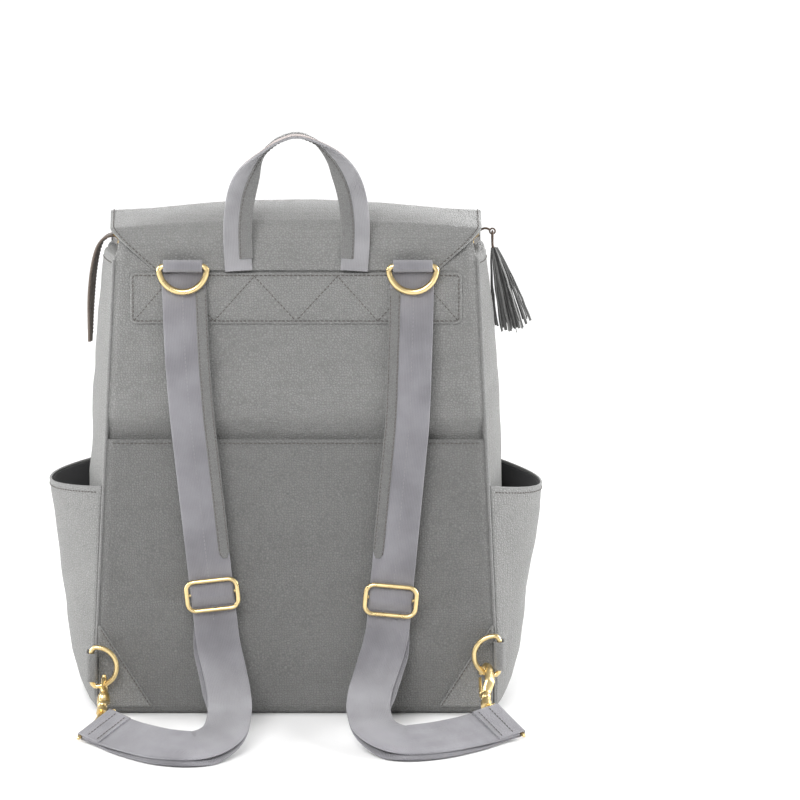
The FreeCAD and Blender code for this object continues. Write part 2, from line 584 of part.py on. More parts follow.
bad = 0
for name, shape in parts.items():
    ok = shape.isValid() and all(x.isClosed() for x in shape.Shells) and shape.Volume > 0
    if not ok or len(shape.Solids) == 0:
        bad += 1
        print("BAD", name, shape.isValid(), shape.ShapeType, len(shape.Solids), shape.Volume)
    shape.exportStep("parts/%s.step" % name)
print(len(parts), "nodes,", bad, "bad")
for name in ("left", "right"):
    t, u, n = run_frame(name)
    print("slide run", name, t)
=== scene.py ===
import json
import math
import random

import bpy
import numpy as np
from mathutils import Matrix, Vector, noise

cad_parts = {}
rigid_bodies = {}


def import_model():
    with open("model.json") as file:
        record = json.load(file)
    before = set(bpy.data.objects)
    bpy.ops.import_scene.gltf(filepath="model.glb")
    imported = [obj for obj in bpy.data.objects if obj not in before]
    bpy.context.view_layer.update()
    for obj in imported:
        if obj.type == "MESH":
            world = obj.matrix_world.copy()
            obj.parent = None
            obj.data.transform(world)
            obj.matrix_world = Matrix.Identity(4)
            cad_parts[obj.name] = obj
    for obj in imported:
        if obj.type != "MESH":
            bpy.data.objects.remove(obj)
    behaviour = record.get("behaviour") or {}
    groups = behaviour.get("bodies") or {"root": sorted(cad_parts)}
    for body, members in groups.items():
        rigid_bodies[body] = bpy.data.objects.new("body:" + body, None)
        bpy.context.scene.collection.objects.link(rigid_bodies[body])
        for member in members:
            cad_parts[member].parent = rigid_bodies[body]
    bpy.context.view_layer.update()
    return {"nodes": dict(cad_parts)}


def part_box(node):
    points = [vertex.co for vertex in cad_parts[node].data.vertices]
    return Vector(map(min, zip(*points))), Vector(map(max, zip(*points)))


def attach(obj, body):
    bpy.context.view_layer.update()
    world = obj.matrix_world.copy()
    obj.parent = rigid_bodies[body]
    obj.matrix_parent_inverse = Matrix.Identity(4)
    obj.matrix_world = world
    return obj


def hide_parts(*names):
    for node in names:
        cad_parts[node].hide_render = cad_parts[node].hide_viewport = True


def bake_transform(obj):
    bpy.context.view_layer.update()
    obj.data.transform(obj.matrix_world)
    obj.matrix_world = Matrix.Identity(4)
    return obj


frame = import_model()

RNG = random.Random(7)
V3 = np.array

# ------------------------------------------------------------ camera, floor, light
scene = bpy.context.scene
CAM_D, CAM_H, CAM_PITCH, CAM_F = 3000.0, 847.3, 0.1933, 3523.7
cam_data = bpy.data.cameras.new("camera")
cam = bpy.data.objects.new("camera", cam_data)
scene.collection.objects.link(cam)
cam.location = (0.0, -CAM_D / 1000, CAM_H / 1000)
cam.rotation_euler = (math.pi / 2 - CAM_PITCH, 0, 0)
cam_data.sensor_width = 36.0
cam_data.lens = CAM_F * 36.0 / 800.0
cam_data.shift_x = (400.0 - 295.9) / 800.0
cam_data.shift_y = 0.0
cam_data.clip_start, cam_data.clip_end = 0.05, 50.0
scene.camera = cam

scene.view_settings.view_transform = "Standard"

world = bpy.data.worlds.new("studio")
scene.world = world
world.use_nodes = True
wn = world.node_tree
wbg = wn.nodes["Background"]
wbg.inputs[0].default_value = (1.0, 1.0, 1.0, 1)
wco = wn.nodes.new("ShaderNodeTexCoord")
wsep = wn.nodes.new("ShaderNodeSeparateXYZ")
wn.links.new(wco.outputs["Generated"], wsep.inputs[0])
wmap = wn.nodes.new("ShaderNodeMapRange")
wmap.interpolation_type = "SMOOTHSTEP"
for k_, v_ in ((1, 0.84), (2, 0.95), (3, 0.50), (4, 1.12)):
    wmap.inputs[k_].default_value = v_
wn.links.new(wsep.outputs[1], wmap.inputs[0])
wn.links.new(wmap.outputs[0], wbg.inputs[1])


def area(name, loc, target, size, power, colour=(1, 1, 1)):
    d = bpy.data.lights.new(name, "AREA")
    d.shape = "RECTANGLE"
    d.size, d.size_y = size
    d.energy = power
    d.color = colour
    o = bpy.data.objects.new(name, d)
    scene.collection.objects.link(o)
    o.location = loc
    o.rotation_euler = (Vector(target) - Vector(loc)).to_track_quat("-Z", "Y").to_euler()
    return o


area("key_top", (-0.45, -1.65, 1.40), (0, 0, 0.36), (1.2, 0.8), 31.0)
area("side_left", (-1.7, 0.10, 0.75), (-0.1, 0, 0.2), (0.7, 1.2), 29.0)
area("side_right", (1.7, 0.10, 0.75), (0.1, 0, 0.2), (0.7, 1.2), 36.0)
area("front_fill", (0.3, 2.1, 0.9), (0, 0, 0.2), (1.6, 1.0), 18.0)


# ------------------------------------------------------------ mesh tools (millimetres in, metres out)
def mesh_obj(name, verts, faces, uvs=None, sharp=38.0):
    me = bpy.data.meshes.new(name)
    v = np.asarray(verts, float).reshape(-1, 3) * 0.001
    me.from_pydata([tuple(p) for p in v], [], [tuple(int(i) for i in f) for f in faces])
    me.validate()
    if uvs is not None:
        layer = me.uv_layers.new(name="UVMap")
        idx = np.zeros(len(me.loops), dtype=np.int32)
        me.loops.foreach_get("vertex_index", idx)
        layer.data.foreach_set("uv", np.asarray(uvs, float)[idx].astype(np.float32).ravel())
    me.polygons.foreach_set("use_smooth", [True] * len(me.polygons))
    if sharp:
        me.set_sharp_from_angle(angle=math.radians(sharp))
    me.update()
    o = bpy.data.objects.new(name, me)
    scene.collection.objects.link(o)
    return o


def normals_of(P):
    du = np.gradient(P, axis=0)
    dv = np.gradient(P, axis=1)
    n = np.cross(du, dv)
    n /= np.maximum(np.linalg.norm(n, axis=2, keepdims=True), 1e-9)
    return n


def shell(P, thick, flip=False, edge=0.55, uv_scale=0.001):
    """Closed leather sheet of grid P (n, m, 3) as its outer face, thick mm deep, with softened cut edges.
    Returns verts, faces, uvs."""
    n, m = P.shape[:2]
    N = normals_of(P)
    if flip:
        N = -N
    k = min(edge, thick * 0.45)
    # outer face shrinks in by k at its border, and border rings step down round the edge
    rows = []
    top = P.copy()
    mid0 = P - N * k
    mid1 = P - N * (thick - k)
    bot = P - N * thick

    def pull(G, amount):
        H = G.copy()
        a = G[1, :] - G[0, :]
        H[0, :] += a / np.maximum(np.linalg.norm(a, axis=1, keepdims=True), 1e-9) * amount
        a = G[-2, :] - G[-1, :]
        H[-1, :] += a / np.maximum(np.linalg.norm(a, axis=1, keepdims=True), 1e-9) * amount
        a = G[:, 1] - G[:, 0]
        H[:, 0] += a / np.maximum(np.linalg.norm(a, axis=1, keepdims=True), 1e-9) * amount
        a = G[:, -2] - G[:, -1]
        H[:, -1] += a / np.maximum(np.linalg.norm(a, axis=1, keepdims=True), 1e-9) * amount
        return H

    top, bot = pull(top, k), pull(bot, k)
    verts = [top.reshape(-1, 3), bot.reshape(-1, 3)]
    off = n * m
    loop = [(0, j) for j in range(m)] + [(i, m - 1) for i in range(1, n)] + [(n - 1, j) for j in range(m - 2, -1, -1)] + [(i, 0) for i in range(n - 2, 0, -1)]
    L = len(loop)
    ringA = np.array([mid0[i, j] for i, j in loop])
    ringB = np.array([mid1[i, j] for i, j in loop])
    verts += [ringA, ringB]
    a0, b0 = 2 * off, 2 * off + L
    faces = []
    for i in range(n - 1):
        for j in range(m - 1):
            q = (i * m + j, (i + 1) * m + j, (i + 1) * m + j + 1, i * m + j + 1)
            r = tuple(off + x for x in (q[3], q[2], q[1], q[0]))
            if flip:
                q, r = q[::-1], r[::-1]
            faces += [q, r]
    for s in range(L):
        t = (s + 1) % L
        i0, j0 = loop[s]
        i1, j1 = loop[t]
        p0, p1 = i0 * m + j0, i1 * m + j1
        for q in ((p0, p1, a0 + t, a0 + s), (a0 + s, a0 + t, b0 + t, b0 + s), (b0 + s, b0 + t, off + p1, off + p0)):
            faces.append(q if not flip else q[::-1])
    # uv: arc lengths along the grid, in metres
    du = np.concatenate([[0], np.cumsum(np.linalg.norm(np.diff(P[:, m // 2], axis=0), axis=1))])
    dv = np.concatenate([[0], np.cumsum(np.linalg.norm(np.diff(P[n // 2], axis=0), axis=1))])
    UV = np.stack(np.meshgrid(dv, du), axis=2).reshape(-1, 2) * uv_scale
    ruv = np.array([UV[i * m + j] for i, j in loop])
    uvs = np.concatenate([UV, UV, ruv, ruv])
    return np.concatenate(verts), faces, uvs


def leather_sheet(name, P, thick, flip=False, sharp=50.0, edge=0.55):
    v, f, uv = shell(P, thick, flip, edge)
    return mesh_obj(name, v, f, uv, sharp)


def join_data(list_vf):
    V, F, U = [], [], []
    o = 0
    for v, f, u in list_vf:
        V.append(v)
        F += [tuple(x + o for x in q) for q in f]
        U.append(u)
        o += len(v)
    return np.concatenate(V), F, np.concatenate(U)


def catmull(points, per):
    P = [V3(p, float) for p in points]
    out = []
    for i in range(len(P) - 1):
        p0, p1, p2, p3 = P[max(i - 1, 0)], P[i], P[i + 1], P[min(i + 2, len(P) - 1)]
        for k in range(per):
            t = k / per
            out.append(0.5 * (2 * p1 + (p2 - p0) * t + (2 * p0 - 5 * p1 + 4 * p2 - p3) * t * t + (3 * p1 - p0 - 3 * p2 + p3) * t ** 3))
    out.append(P[-1])
    return np.array(out)


def frames(rows):
    """Centres, tangents, width directions and normals along a strip's rows of x, y, z, ux, uy, uz."""
    R = np.asarray(rows, float)
    C = R[:, :3]
    T = np.gradient(C, axis=0)
    T /= np.linalg.norm(T, axis=1, keepdims=True)
    U = R[:, 3:6]
    U = U - T * (U * T).sum(1, keepdims=True)
    U /= np.linalg.norm(U, axis=1, keepdims=True)
    N = np.cross(T, U)
    return C, T, U, N


def strip(rows, width, thick, lateral=0.0, lift=0.0, crown=0.0, lip=0.0, taper=None, across=12, part=None):
    """Flat band along rows: a rounded section, slightly crowned or with a thicker lip at its edges."""
    C, T, U, N = frames(rows)
    if part is not None:
        C, T, U, N = C[part], T[part], U[part], N[part]
    half, ht = width / 2, thick / 2
    r = min(ht * 0.95, 0.9)
    sec = []
    xs = np.linspace(-(half - r), half - r, across)
    for x in xs:
        z = ht + crown * (1 - (x / half) ** 2) + lip * abs(x / half) ** 8
        sec.append((x, z))
    for a in (60, 30, 0, -30, -60):
        sec.append((half - r + r * math.cos(math.radians(a)), ht * math.sin(math.radians(a)) * 0.98))
    for x in xs[::-1]:
        z = -ht - lip * abs(x / half) ** 8
        sec.append((x, z))
    for a in (240, 210, 180, 150, 120):
        sec.append((-(half - r) + r * math.cos(math.radians(a)), ht * math.sin(math.radians(a)) * 0.98))
    sec = np.array(sec)
    n, k = len(C), len(sec)
    arc = np.concatenate([[0], np.cumsum(np.linalg.norm(np.diff(C, axis=0), axis=1))])
    verts, uvs = [], []
    for i in range(n):
        w = 1.0 if taper is None else taper[i]
        o = C[i] + U[i] * lateral + N[i] * lift
        verts.append(o + np.outer(sec[:, 0] * w, U[i]) + np.outer(sec[:, 1], N[i]))
        uvs.append(np.stack([(sec[:, 0] * w + lateral) * 0.001, np.full(k, arc[i] * 0.001)], 1))
    verts, uvs = np.concatenate(verts), np.concatenate(uvs)
    faces = []
    for i in range(n - 1):
        for j in range(k):
            j2 = (j + 1) % k
            faces.append((i * k + j, i * k + j2, (i + 1) * k + j2, (i + 1) * k + j))
    faces.append(tuple(range(k - 1, -1, -1)))
    faces.append(tuple(range((n - 1) * k, n * k)))
    return verts, faces, uvs


def tube(path, radius, sides=12, closed=False):
    """Round wire along path; radius may vary."""
    P = np.asarray(path, float)
    n = len(P)
    if closed:
        T = np.roll(P, -1, 0) - np.roll(P, 1, 0)
    else:
        T = np.gradient(P, axis=0)
    T /= np.maximum(np.linalg.norm(T, axis=1, keepdims=True), 1e-9)
    up = V3([0.0, 0.0, 1.0]) if abs(T[0][2]) < 0.9 else V3([1.0, 0, 0])
    A = np.zeros_like(P)
    a = up - T[0] * up.dot(T[0])
    a /= np.linalg.norm(a)
    for i in range(n):
        a = a - T[i] * a.dot(T[i])
        a /= np.linalg.norm(a)
        A[i] = a
    B = np.cross(T, A)
    if closed:
        # undo the twist left over after one turn
        a = A[-1] - T[0] * A[-1].dot(T[0])
        ang = math.atan2(a.dot(B[0]), a.dot(A[0]))
        for i in range(n):
            th = -ang * i / n
            A[i], B[i] = A[i] * math.cos(th) + B[i] * math.sin(th), B[i] * math.cos(th) - A[i] * math.sin(th)
    R = np.broadcast_to(np.asarray(radius, float), (n,))
    verts = []
    for i in range(n):
        for s in range(sides):
            th = 2 * math.pi * s / sides
            verts.append(P[i] + (A[i] * math.cos(th) + B[i] * math.sin(th)) * R[i])
    faces = []
    for i in range(n if closed else n - 1):
        i2 = (i + 1) % n
        for s in range(sides):
            s2 = (s + 1) % sides
            faces.append((i * sides + s, i * sides + s2, i2 * sides + s2, i2 * sides + s))
    if not closed:
        faces.append(tuple(range(sides - 1, -1, -1)))
        faces.append(tuple(range((n - 1) * sides, n * sides)))
    verts = np.array(verts)
    return verts, faces, verts[:, :2] * 0.001


# stitches: short raised threads, gathered per body and written as meshes at the end
THREADS = {}


def stitch(body, group, pts, nrm, pitch=3.9, length=3.0, r=0.42, raise_=0.18):
    """A row of stitches along the polyline pts, standing on the surface whose outward normals are nrm."""
    P = np.asarray(pts, float)
    N = np.asarray(nrm, float)
    if N.ndim == 1:
        N = np.broadcast_to(N, P.shape)
    seg = np.linalg.norm(np.diff(P, axis=0), axis=1)
    arc = np.concatenate([[0], np.cumsum(seg)])
    total = arc[-1]
    count = max(1, int(total / pitch))
    step = total / count
    at = lambda s, A: np.array([np.interp(s, arc, A[:, k]) for k in range(3)])
    store = THREADS.setdefault((body, group), [])
    prof = [(-0.5, 0.25, -0.55), (-0.40, 0.85, 0.0), (0.0, 1.0, 0.35), (0.40, 0.85, 0.0), (0.5, 0.25, -0.55)]
    for i in range(count):
        mid = (i + 0.5) * step
        c = at(mid, P)
        a, b = at(max(mid - length / 2, 0), P), at(min(mid + length / 2, total), P)
        t = b - a
        L = np.linalg.norm(t)
        if L < 1e-6:
            continue
        t = t / L
        n = at(mid, N)
        n = n - t * n.dot(t)
        n /= np.linalg.norm(n)
        s = np.cross(t, n)
        t = t + s * 0.06
        verts = []
        for along, rad, dz in prof:
            o = c + t * (along * length) + n * (raise_ + dz * r)
            for k in range(6):
                th = math.pi * k / 3
                verts.append(o + (s * math.cos(th) * 1.05 + n * math.sin(th) * 0.8) * rad * r)
        faces = [(k0 * 6 + k, k0 * 6 + (k + 1) % 6, (k0 + 1) * 6 + (k + 1) % 6, (k0 + 1) * 6 + k) for k0 in range(4) for k in range(6)]
        faces += [(5, 4, 3, 2, 1, 0), (24, 25, 26, 27, 28, 29)]
        v = np.array(verts)
        store.append((v, faces, v[:, :2] * 0.001))


# ------------------------------------------------------------ materials
def mat(name):
    m = bpy.data.materials.new(name)
    m.use_nodes = True
    nt = m.node_tree
    nt.nodes.clear()
    out = nt.nodes.new("ShaderNodeOutputMaterial")
    b = nt.nodes.new("ShaderNodeBsdfPrincipled")
    nt.links.new(b.outputs[0], out.inputs[0])
    return m, nt, b


def N(nt, kind, **kw):
    n = nt.nodes.new(kind)
    for k, v in kw.items():
        if k.startswith("i_"):
            key = k[2:]
            key = int(key) if key.isdigit() else key.replace("_", " ")
            n.inputs[key].default_value = v
        else:
            setattr(n, k, v)
    return n


def ramp(nt, src, stops):
    r = nt.nodes.new("ShaderNodeValToRGB")
    while len(r.color_ramp.elements) < len(stops):
        r.color_ramp.elements.new(0.5)
    for e, (p, c) in zip(r.color_ramp.elements, stops):
        e.position = p
        e.color = c if len(c) == 4 else (*c, 1)
    nt.links.new(src, r.inputs[0])
    return r


def math_node(nt, op, a, b=None, c=None, clamp=False):
    n = nt.nodes.new("ShaderNodeMath")
    n.operation = op
    n.use_clamp = clamp
    for i, x in enumerate((a, b, c)):
        if x is None:
            continue
        if isinstance(x, (int, float)):
            n.inputs[i].default_value = x
        else:
            nt.links.new(x, n.inputs[i])
    return n.outputs[0]


def leather(name, base, pebble=470.0, depth=1.0, rough=0.50, wear=0.08, dark=0.70):
    """Pebbled hide: rounded grains with painted shade darkening the creases between them (pebble tops painted a touch
    lighter), broad tone drift, lighter rubbed tops and edges.
    """
    m, nt, b = mat(name)
    co = N(nt, "ShaderNodeTexCoord")
    warp = N(nt, "ShaderNodeTexNoise", i_Scale=260.0, i_Detail=2.0)
    nt.links.new(co.outputs["Object"], warp.inputs["Vector"])
    mixv = N(nt, "ShaderNodeVectorMath", operation="MULTIPLY_ADD")
    mixv.inputs[1].default_value = (0.0022, 0.0022, 0.0022)
    nt.links.new(warp.outputs["Color"], mixv.inputs[0])
    nt.links.new(co.outputs["Object"], mixv.inputs[2])
    v1 = N(nt, "ShaderNodeTexVoronoi", feature="DISTANCE_TO_EDGE", i_Scale=pebble, i_Randomness=0.72)
    nt.links.new(mixv.outputs[0], v1.inputs["Vector"])
    v2 = N(nt, "ShaderNodeTexNoise", i_Scale=pebble * 0.5, i_Detail=1.0)
    nt.links.new(mixv.outputs[0], v2.inputs["Vector"])
    fine = N(nt, "ShaderNodeTexNoise", i_Scale=1300.0, i_Detail=2.0)
    nt.links.new(co.outputs["Object"], fine.inputs["Vector"])
    grain = math_node(nt, "MINIMUM", math_node(nt, "MULTIPLY", v1.outputs["Distance"], 1.9), 1.0)
    dome = math_node(nt, "POWER", grain, 0.70)
    h = math_node(nt, "MULTIPLY_ADD", dome, 0.62, math_node(nt, "MULTIPLY", v2.outputs["Fac"], 0.6))
    h = math_node(nt, "MULTIPLY_ADD", fine.outputs["Fac"], 0.07, h)
    bump = N(nt, "ShaderNodeBump", i_Strength=depth, i_Distance=0.0010)
    nt.links.new(h, bump.inputs["Height"])
    nt.links.new(bump.outputs[0], b.inputs["Normal"])
    drift = N(nt, "ShaderNodeTexNoise", i_Scale=9.0, i_Detail=4.0, i_Roughness=0.6)
    nt.links.new(co.outputs["Object"], drift.inputs["Vector"])
    mott = N(nt, "ShaderNodeTexNoise", i_Scale=95.0, i_Detail=3.0)
    nt.links.new(co.outputs["Object"], mott.inputs["Vector"])
    d = math_node(nt, "MULTIPLY_ADD", drift.outputs["Fac"], 0.5, math_node(nt, "MULTIPLY", mott.outputs["Fac"], 0.25))
    tone = ramp(nt, d, [(0.22, tuple(c * 0.90 for c in base)), (0.55, tuple(c * 1.08 for c in base))])
    # painted shade: the colour darkens in the creases between the pebbles, down to dark, and the pebble tops are
    # painted a touch lighter
    crease_painted_shade = ramp(nt, grain, [(0.0, (dark,) * 3), (0.38, (0.99, 0.99, 0.99)), (1.0, (1.02, 1.02, 1.02))])
    mul = N(nt, "ShaderNodeMix", data_type="RGBA", blend_type="MULTIPLY")
    mul.inputs["Factor"].default_value = 1.0
    nt.links.new(tone.outputs[0], mul.inputs["A"])
    nt.links.new(crease_painted_shade.outputs[0], mul.inputs["B"])
    geo = N(nt, "ShaderNodeNewGeometry")
    edge = ramp(nt, geo.outputs["Pointiness"], [(0.52, (0, 0, 0)), (0.60, (1, 1, 1))])
    ef = math_node(nt, "MULTIPLY", edge.outputs[0], wear)
    lite = N(nt, "ShaderNodeMix", data_type="RGBA")
    lite.inputs["B"].default_value = (*[min(1, c * 1.45 + 0.03) for c in base], 1)
    nt.links.new(ef, lite.inputs["Factor"])
    nt.links.new(mul.outputs["Result"], lite.inputs["A"])
    nt.links.new(lite.outputs["Result"], b.inputs["Base Color"])
    rr = N(nt, "ShaderNodeMapRange", i_3=rough - 0.05, i_4=rough + 0.13)
    nt.links.new(mott.outputs["Fac"], rr.inputs[0])
    nt.links.new(rr.outputs[0], b.inputs["Roughness"])
    b.inputs["Specular IOR Level"].default_value = 0.24
    b.inputs["Sheen Weight"].default_value = 0.08
    b.inputs["Sheen Roughness"].default_value = 0.5
    return m


def webbing(name, base, rib=1.35, rough=0.62):
    """Ribbed twill tape: warp ribs along its length, a diagonal crossing rib, thread fuzz; uv in metres, x across."""
    m, nt, b = mat(name)
    uv = N(nt, "ShaderNodeUVMap", uv_map="UVMap")
    sep = N(nt, "ShaderNodeSeparateXYZ")
    nt.links.new(uv.outputs[0], sep.inputs[0])
    k = 2 * math.pi / (rib * 0.001)
    x = math_node(nt, "MULTIPLY", sep.outputs[0], k)
    y = math_node(nt, "MULTIPLY", sep.outputs[1], k)
    warp = math_node(nt, "SINE", x)
    diag = math_node(nt, "SINE", math_node(nt, "MULTIPLY_ADD", sep.outputs[0], k * 0.5, math_node(nt, "MULTIPLY", y, 1.55)))
    diag2 = math_node(nt, "SINE", math_node(nt, "MULTIPLY_ADD", sep.outputs[0], -k * 0.5, math_node(nt, "MULTIPLY", y, 1.55)))
    # herringbone: the diagonal changes side every few ribs
    side = math_node(nt, "GREATER_THAN", math_node(nt, "SINE", math_node(nt, "MULTIPLY", x, 0.125)), 0.0)
    mixd = N(nt, "ShaderNodeMix", data_type="FLOAT")
    nt.links.new(side, mixd.inputs["Factor"])
    nt.links.new(diag, mixd.inputs["A"])
    nt.links.new(diag2, mixd.inputs["B"])
    h = math_node(nt, "MULTIPLY_ADD", warp, 0.45, mixd.outputs["Result"])
    co = N(nt, "ShaderNodeTexCoord")
    fz = N(nt, "ShaderNodeTexNoise", i_Scale=1700.0, i_Detail=2.0)
    nt.links.new(co.outputs["Object"], fz.inputs["Vector"])
    h = math_node(nt, "MULTIPLY_ADD", fz.outputs["Fac"], 0.8, h)
    bump = N(nt, "ShaderNodeBump", i_Strength=0.8, i_Distance=0.00035)
    nt.links.new(h, bump.inputs["Height"])
    nt.links.new(bump.outputs[0], b.inputs["Normal"])
    drift = N(nt, "ShaderNodeTexNoise", i_Scale=28.0, i_Detail=3.0)
    nt.links.new(co.outputs["Object"], drift.inputs["Vector"])
    t = math_node(nt, "MULTIPLY_ADD", h, 0.07, math_node(nt, "MULTIPLY", drift.outputs["Fac"], 0.5))
    tone = ramp(nt, t, [(0.14, tuple(c * 0.70 for c in base)), (0.40, tuple(c * 1.18 for c in base))])
    nt.links.new(tone.outputs[0], b.inputs["Base Color"])
    b.inputs["Roughness"].default_value = rough
    b.inputs["Specular IOR Level"].default_value = 0.35
    b.inputs["Sheen Weight"].default_value = 0.25
    b.inputs["Sheen Roughness"].default_value = 0.4
    return m


def metal(name, base, rough=0.27):
    m, nt, b = mat(name)
    co = N(nt, "ShaderNodeTexCoord")
    n1 = N(nt, "ShaderNodeTexNoise", i_Scale=120.0, i_Detail=3.0)
    n2 = N(nt, "ShaderNodeTexNoise", i_Scale=1500.0, i_Detail=2.0)
    nt.links.new(co.outputs["Object"], n1.inputs["Vector"])
    nt.links.new(co.outputs["Object"], n2.inputs["Vector"])
    tone = ramp(nt, n1.outputs["Fac"], [(0.3, tuple(c * 0.92 for c in base)), (0.7, tuple(min(1, c * 1.05) for c in base))])
    nt.links.new(tone.outputs[0], b.inputs["Base Color"])
    rr = N(nt, "ShaderNodeMapRange", i_3=rough - 0.05, i_4=rough + 0.09)
    nt.links.new(n1.outputs["Fac"], rr.inputs[0])
    nt.links.new(rr.outputs[0], b.inputs["Roughness"])
    bump = N(nt, "ShaderNodeBump", i_Strength=0.12, i_Distance=0.00005)
    nt.links.new(n2.outputs["Fac"], bump.inputs["Height"])
    nt.links.new(bump.outputs[0], b.inputs["Normal"])
    b.inputs["Metallic"].default_value = 1.0
    return m


def cloth(name, base, scale=900.0, rough=0.85, bump_d=0.00015, sheen=0.2):
    m, nt, b = mat(name)
    co = N(nt, "ShaderNodeTexCoord")
    w1 = N(nt, "ShaderNodeTexWave", wave_type="BANDS", bands_direction="X", i_Scale=scale)
    w2 = N(nt, "ShaderNodeTexWave", wave_type="BANDS", bands_direction="Z", i_Scale=scale)
    for w in (w1, w2):
        nt.links.new(co.outputs["Object"], w.inputs["Vector"])
    h = math_node(nt, "ADD", w1.outputs["Fac"], w2.outputs["Fac"])
    bump = N(nt, "ShaderNodeBump", i_Strength=0.5, i_Distance=bump_d)
    nt.links.new(h, bump.inputs["Height"])
    nt.links.new(bump.outputs[0], b.inputs["Normal"])
    dr = N(nt, "ShaderNodeTexNoise", i_Scale=40.0, i_Detail=3.0)
    nt.links.new(co.outputs["Object"], dr.inputs["Vector"])
    tone = ramp(nt, dr.outputs["Fac"], [(0.3, tuple(c * 0.85 for c in base)), (0.7, tuple(min(1, c * 1.15) for c in base))])
    nt.links.new(tone.outputs[0], b.inputs["Base Color"])
    b.inputs["Roughness"].default_value = rough
    b.inputs["Sheen Weight"].default_value = sheen
    return m


GREY = (0.243, 0.2435, 0.238)
M_LEATHER = leather("grey_pebbled_leather", GREY)
# darker copy of the grey leather for the lower slip pocket: painted shade, the back darker towards the bottom
M_LEATHER_PAINTED_SHADE_LOW = leather("grey_pebbled_leather_pocket_painted_shade", tuple(0.75 * c for c in GREY))
M_TRIM = leather("grey_trim_leather", (0.222, 0.222, 0.219), pebble=620.0, depth=0.42, rough=0.48)
M_EDGE = leather("raw_edge_leather", (0.30, 0.22, 0.175), pebble=900.0, depth=0.3, rough=0.7, wear=0.1)
M_WEB = webbing("grey_webbing", (0.300, 0.294, 0.318))
# lighter copy of the strap webbing for the handle: painted light on the top of the bag
M_WEB_HANDLE_PAINTED_LIGHT = webbing("handle_grey_webbing_painted_light", (0.385, 0.380, 0.398))
# darker copy of the strap webbing for the under ply: painted shade between the plies
M_WEB_UNDER_PAINTED_SHADE = webbing("grey_webbing_under_ply_painted_shade", (0.215, 0.211, 0.229))
M_STRAP_TRIM = leather("strap_trim_leather_mat", (0.180, 0.180, 0.177), pebble=620.0, depth=0.42, rough=0.48)
M_TAIL = leather("zipper_tail_leather_mat", (0.155, 0.125, 0.105), pebble=620.0, depth=0.3, rough=0.55)
# pale pinkish leather for the glint on the handle's top: painted highlight
M_PALE_PAINTED_HIGHLIGHT = leather("pale_leather_painted_highlight", (0.60, 0.53, 0.51), pebble=900.0, depth=0.2, rough=0.7, wear=0.1)
M_GOLD = metal("satin_pale_gold", (0.86, 0.665, 0.335))
M_THREAD_PALE = cloth("pale_thread", (0.34, 0.33, 0.35), scale=2500.0)
M_THREAD = cloth("dark_thread", (0.085, 0.075, 0.068), scale=2500.0)
M_LINING = cloth("charcoal_lining", (0.030, 0.030, 0.032), scale=1300.0)
M_TAPE = cloth("zipper_tape_cloth", (0.22, 0.19, 0.155), scale=2100.0)
M_TAPE_DARK = cloth("dark_zipper_tape_cloth", (0.13, 0.125, 0.12), scale=2100.0)
M_BOARD = cloth("base_board_plastic", (0.05, 0.05, 0.05), scale=600.0, rough=0.6, sheen=0.0)
M_TASSEL = leather("tassel_leather", (0.115, 0.115, 0.113), pebble=900.0, depth=0.3, rough=0.55, dark=0.85)
TT = M_TASSEL.node_tree
tb = next(n for n in TT.nodes if n.type == "BSDF_PRINCIPLED")
src = tb.inputs["Base Color"].links[0].from_socket
tgeo = TT.nodes.new("ShaderNodeNewGeometry")
tr_ = ramp(TT, tgeo.outputs["Random Per Island"], [(0.0, (0.30, 0.30, 0.30)), (1.0, (2.2, 2.2, 2.2))])
tm = N(TT, "ShaderNodeMix", data_type="RGBA", blend_type="MULTIPLY")
tm.inputs["Factor"].default_value = 1.0
TT.links.new(src, tm.inputs["A"])
TT.links.new(tr_.outputs[0], tm.inputs["B"])
TT.links.new(tm.outputs["Result"], tb.inputs["Base Color"])
M_CORD = leather("brown_cord", (0.11, 0.075, 0.055), pebble=900.0, depth=0.3, rough=0.6)


def put(o, material, body, replaces=()):
    o.data.materials.clear()
    o.data.materials.append(material)
    if body:
        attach(o, body)
    if replaces:
        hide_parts(*replaces)
    return o


# ------------------------------------------------------------ the bag's form
HALF_W_LOW, HALF_W_TOP, Z_TAPER = 170.0, 153.0, 70.0
HALF_D_LOW, HALF_D_TOP, Z_TOP, BASE_R = 82.0, 65.0, 394.0, 12.0
GUSSET = [(0, 6.0), (60, 10.0), (150, 14.0), (260, 16.5), (340, 15.0), (394, 10.5)]
POCKET = [(3, 9.6), (20, 17.5), (42, 23.5), (83, 29.5), (147, 40.5), (198, 48.5)]
SLIP_TOP = 240.0


def table(t, z):
    return np.interp(z, [a for a, _ in t], [b for _, b in t])


def inset(z):
    return BASE_R - math.sqrt(max(0.0, BASE_R ** 2 - (BASE_R - min(z, BASE_R)) ** 2))


def half_w(z):
    w = HALF_W_LOW if z < Z_TAPER else HALF_W_LOW + (HALF_W_TOP - HALF_W_LOW) * (z - Z_TAPER) / (Z_TOP - Z_TAPER)
    return w - inset(z)


def half_d(z):
    return HALF_D_LOW + (HALF_D_TOP - HALF_D_LOW) * z / Z_TOP - inset(z)


def fbm(x, y, z, scale, seed=0.0):
    return noise.noise(Vector((x / scale + seed, y / scale - seed, z / scale + 0.37 * seed)))


def smooth(a, b, x):
    t = min(1.0, max(0.0, (x - a) / (b - a)))
    return t * t * (3 - 2 * t)


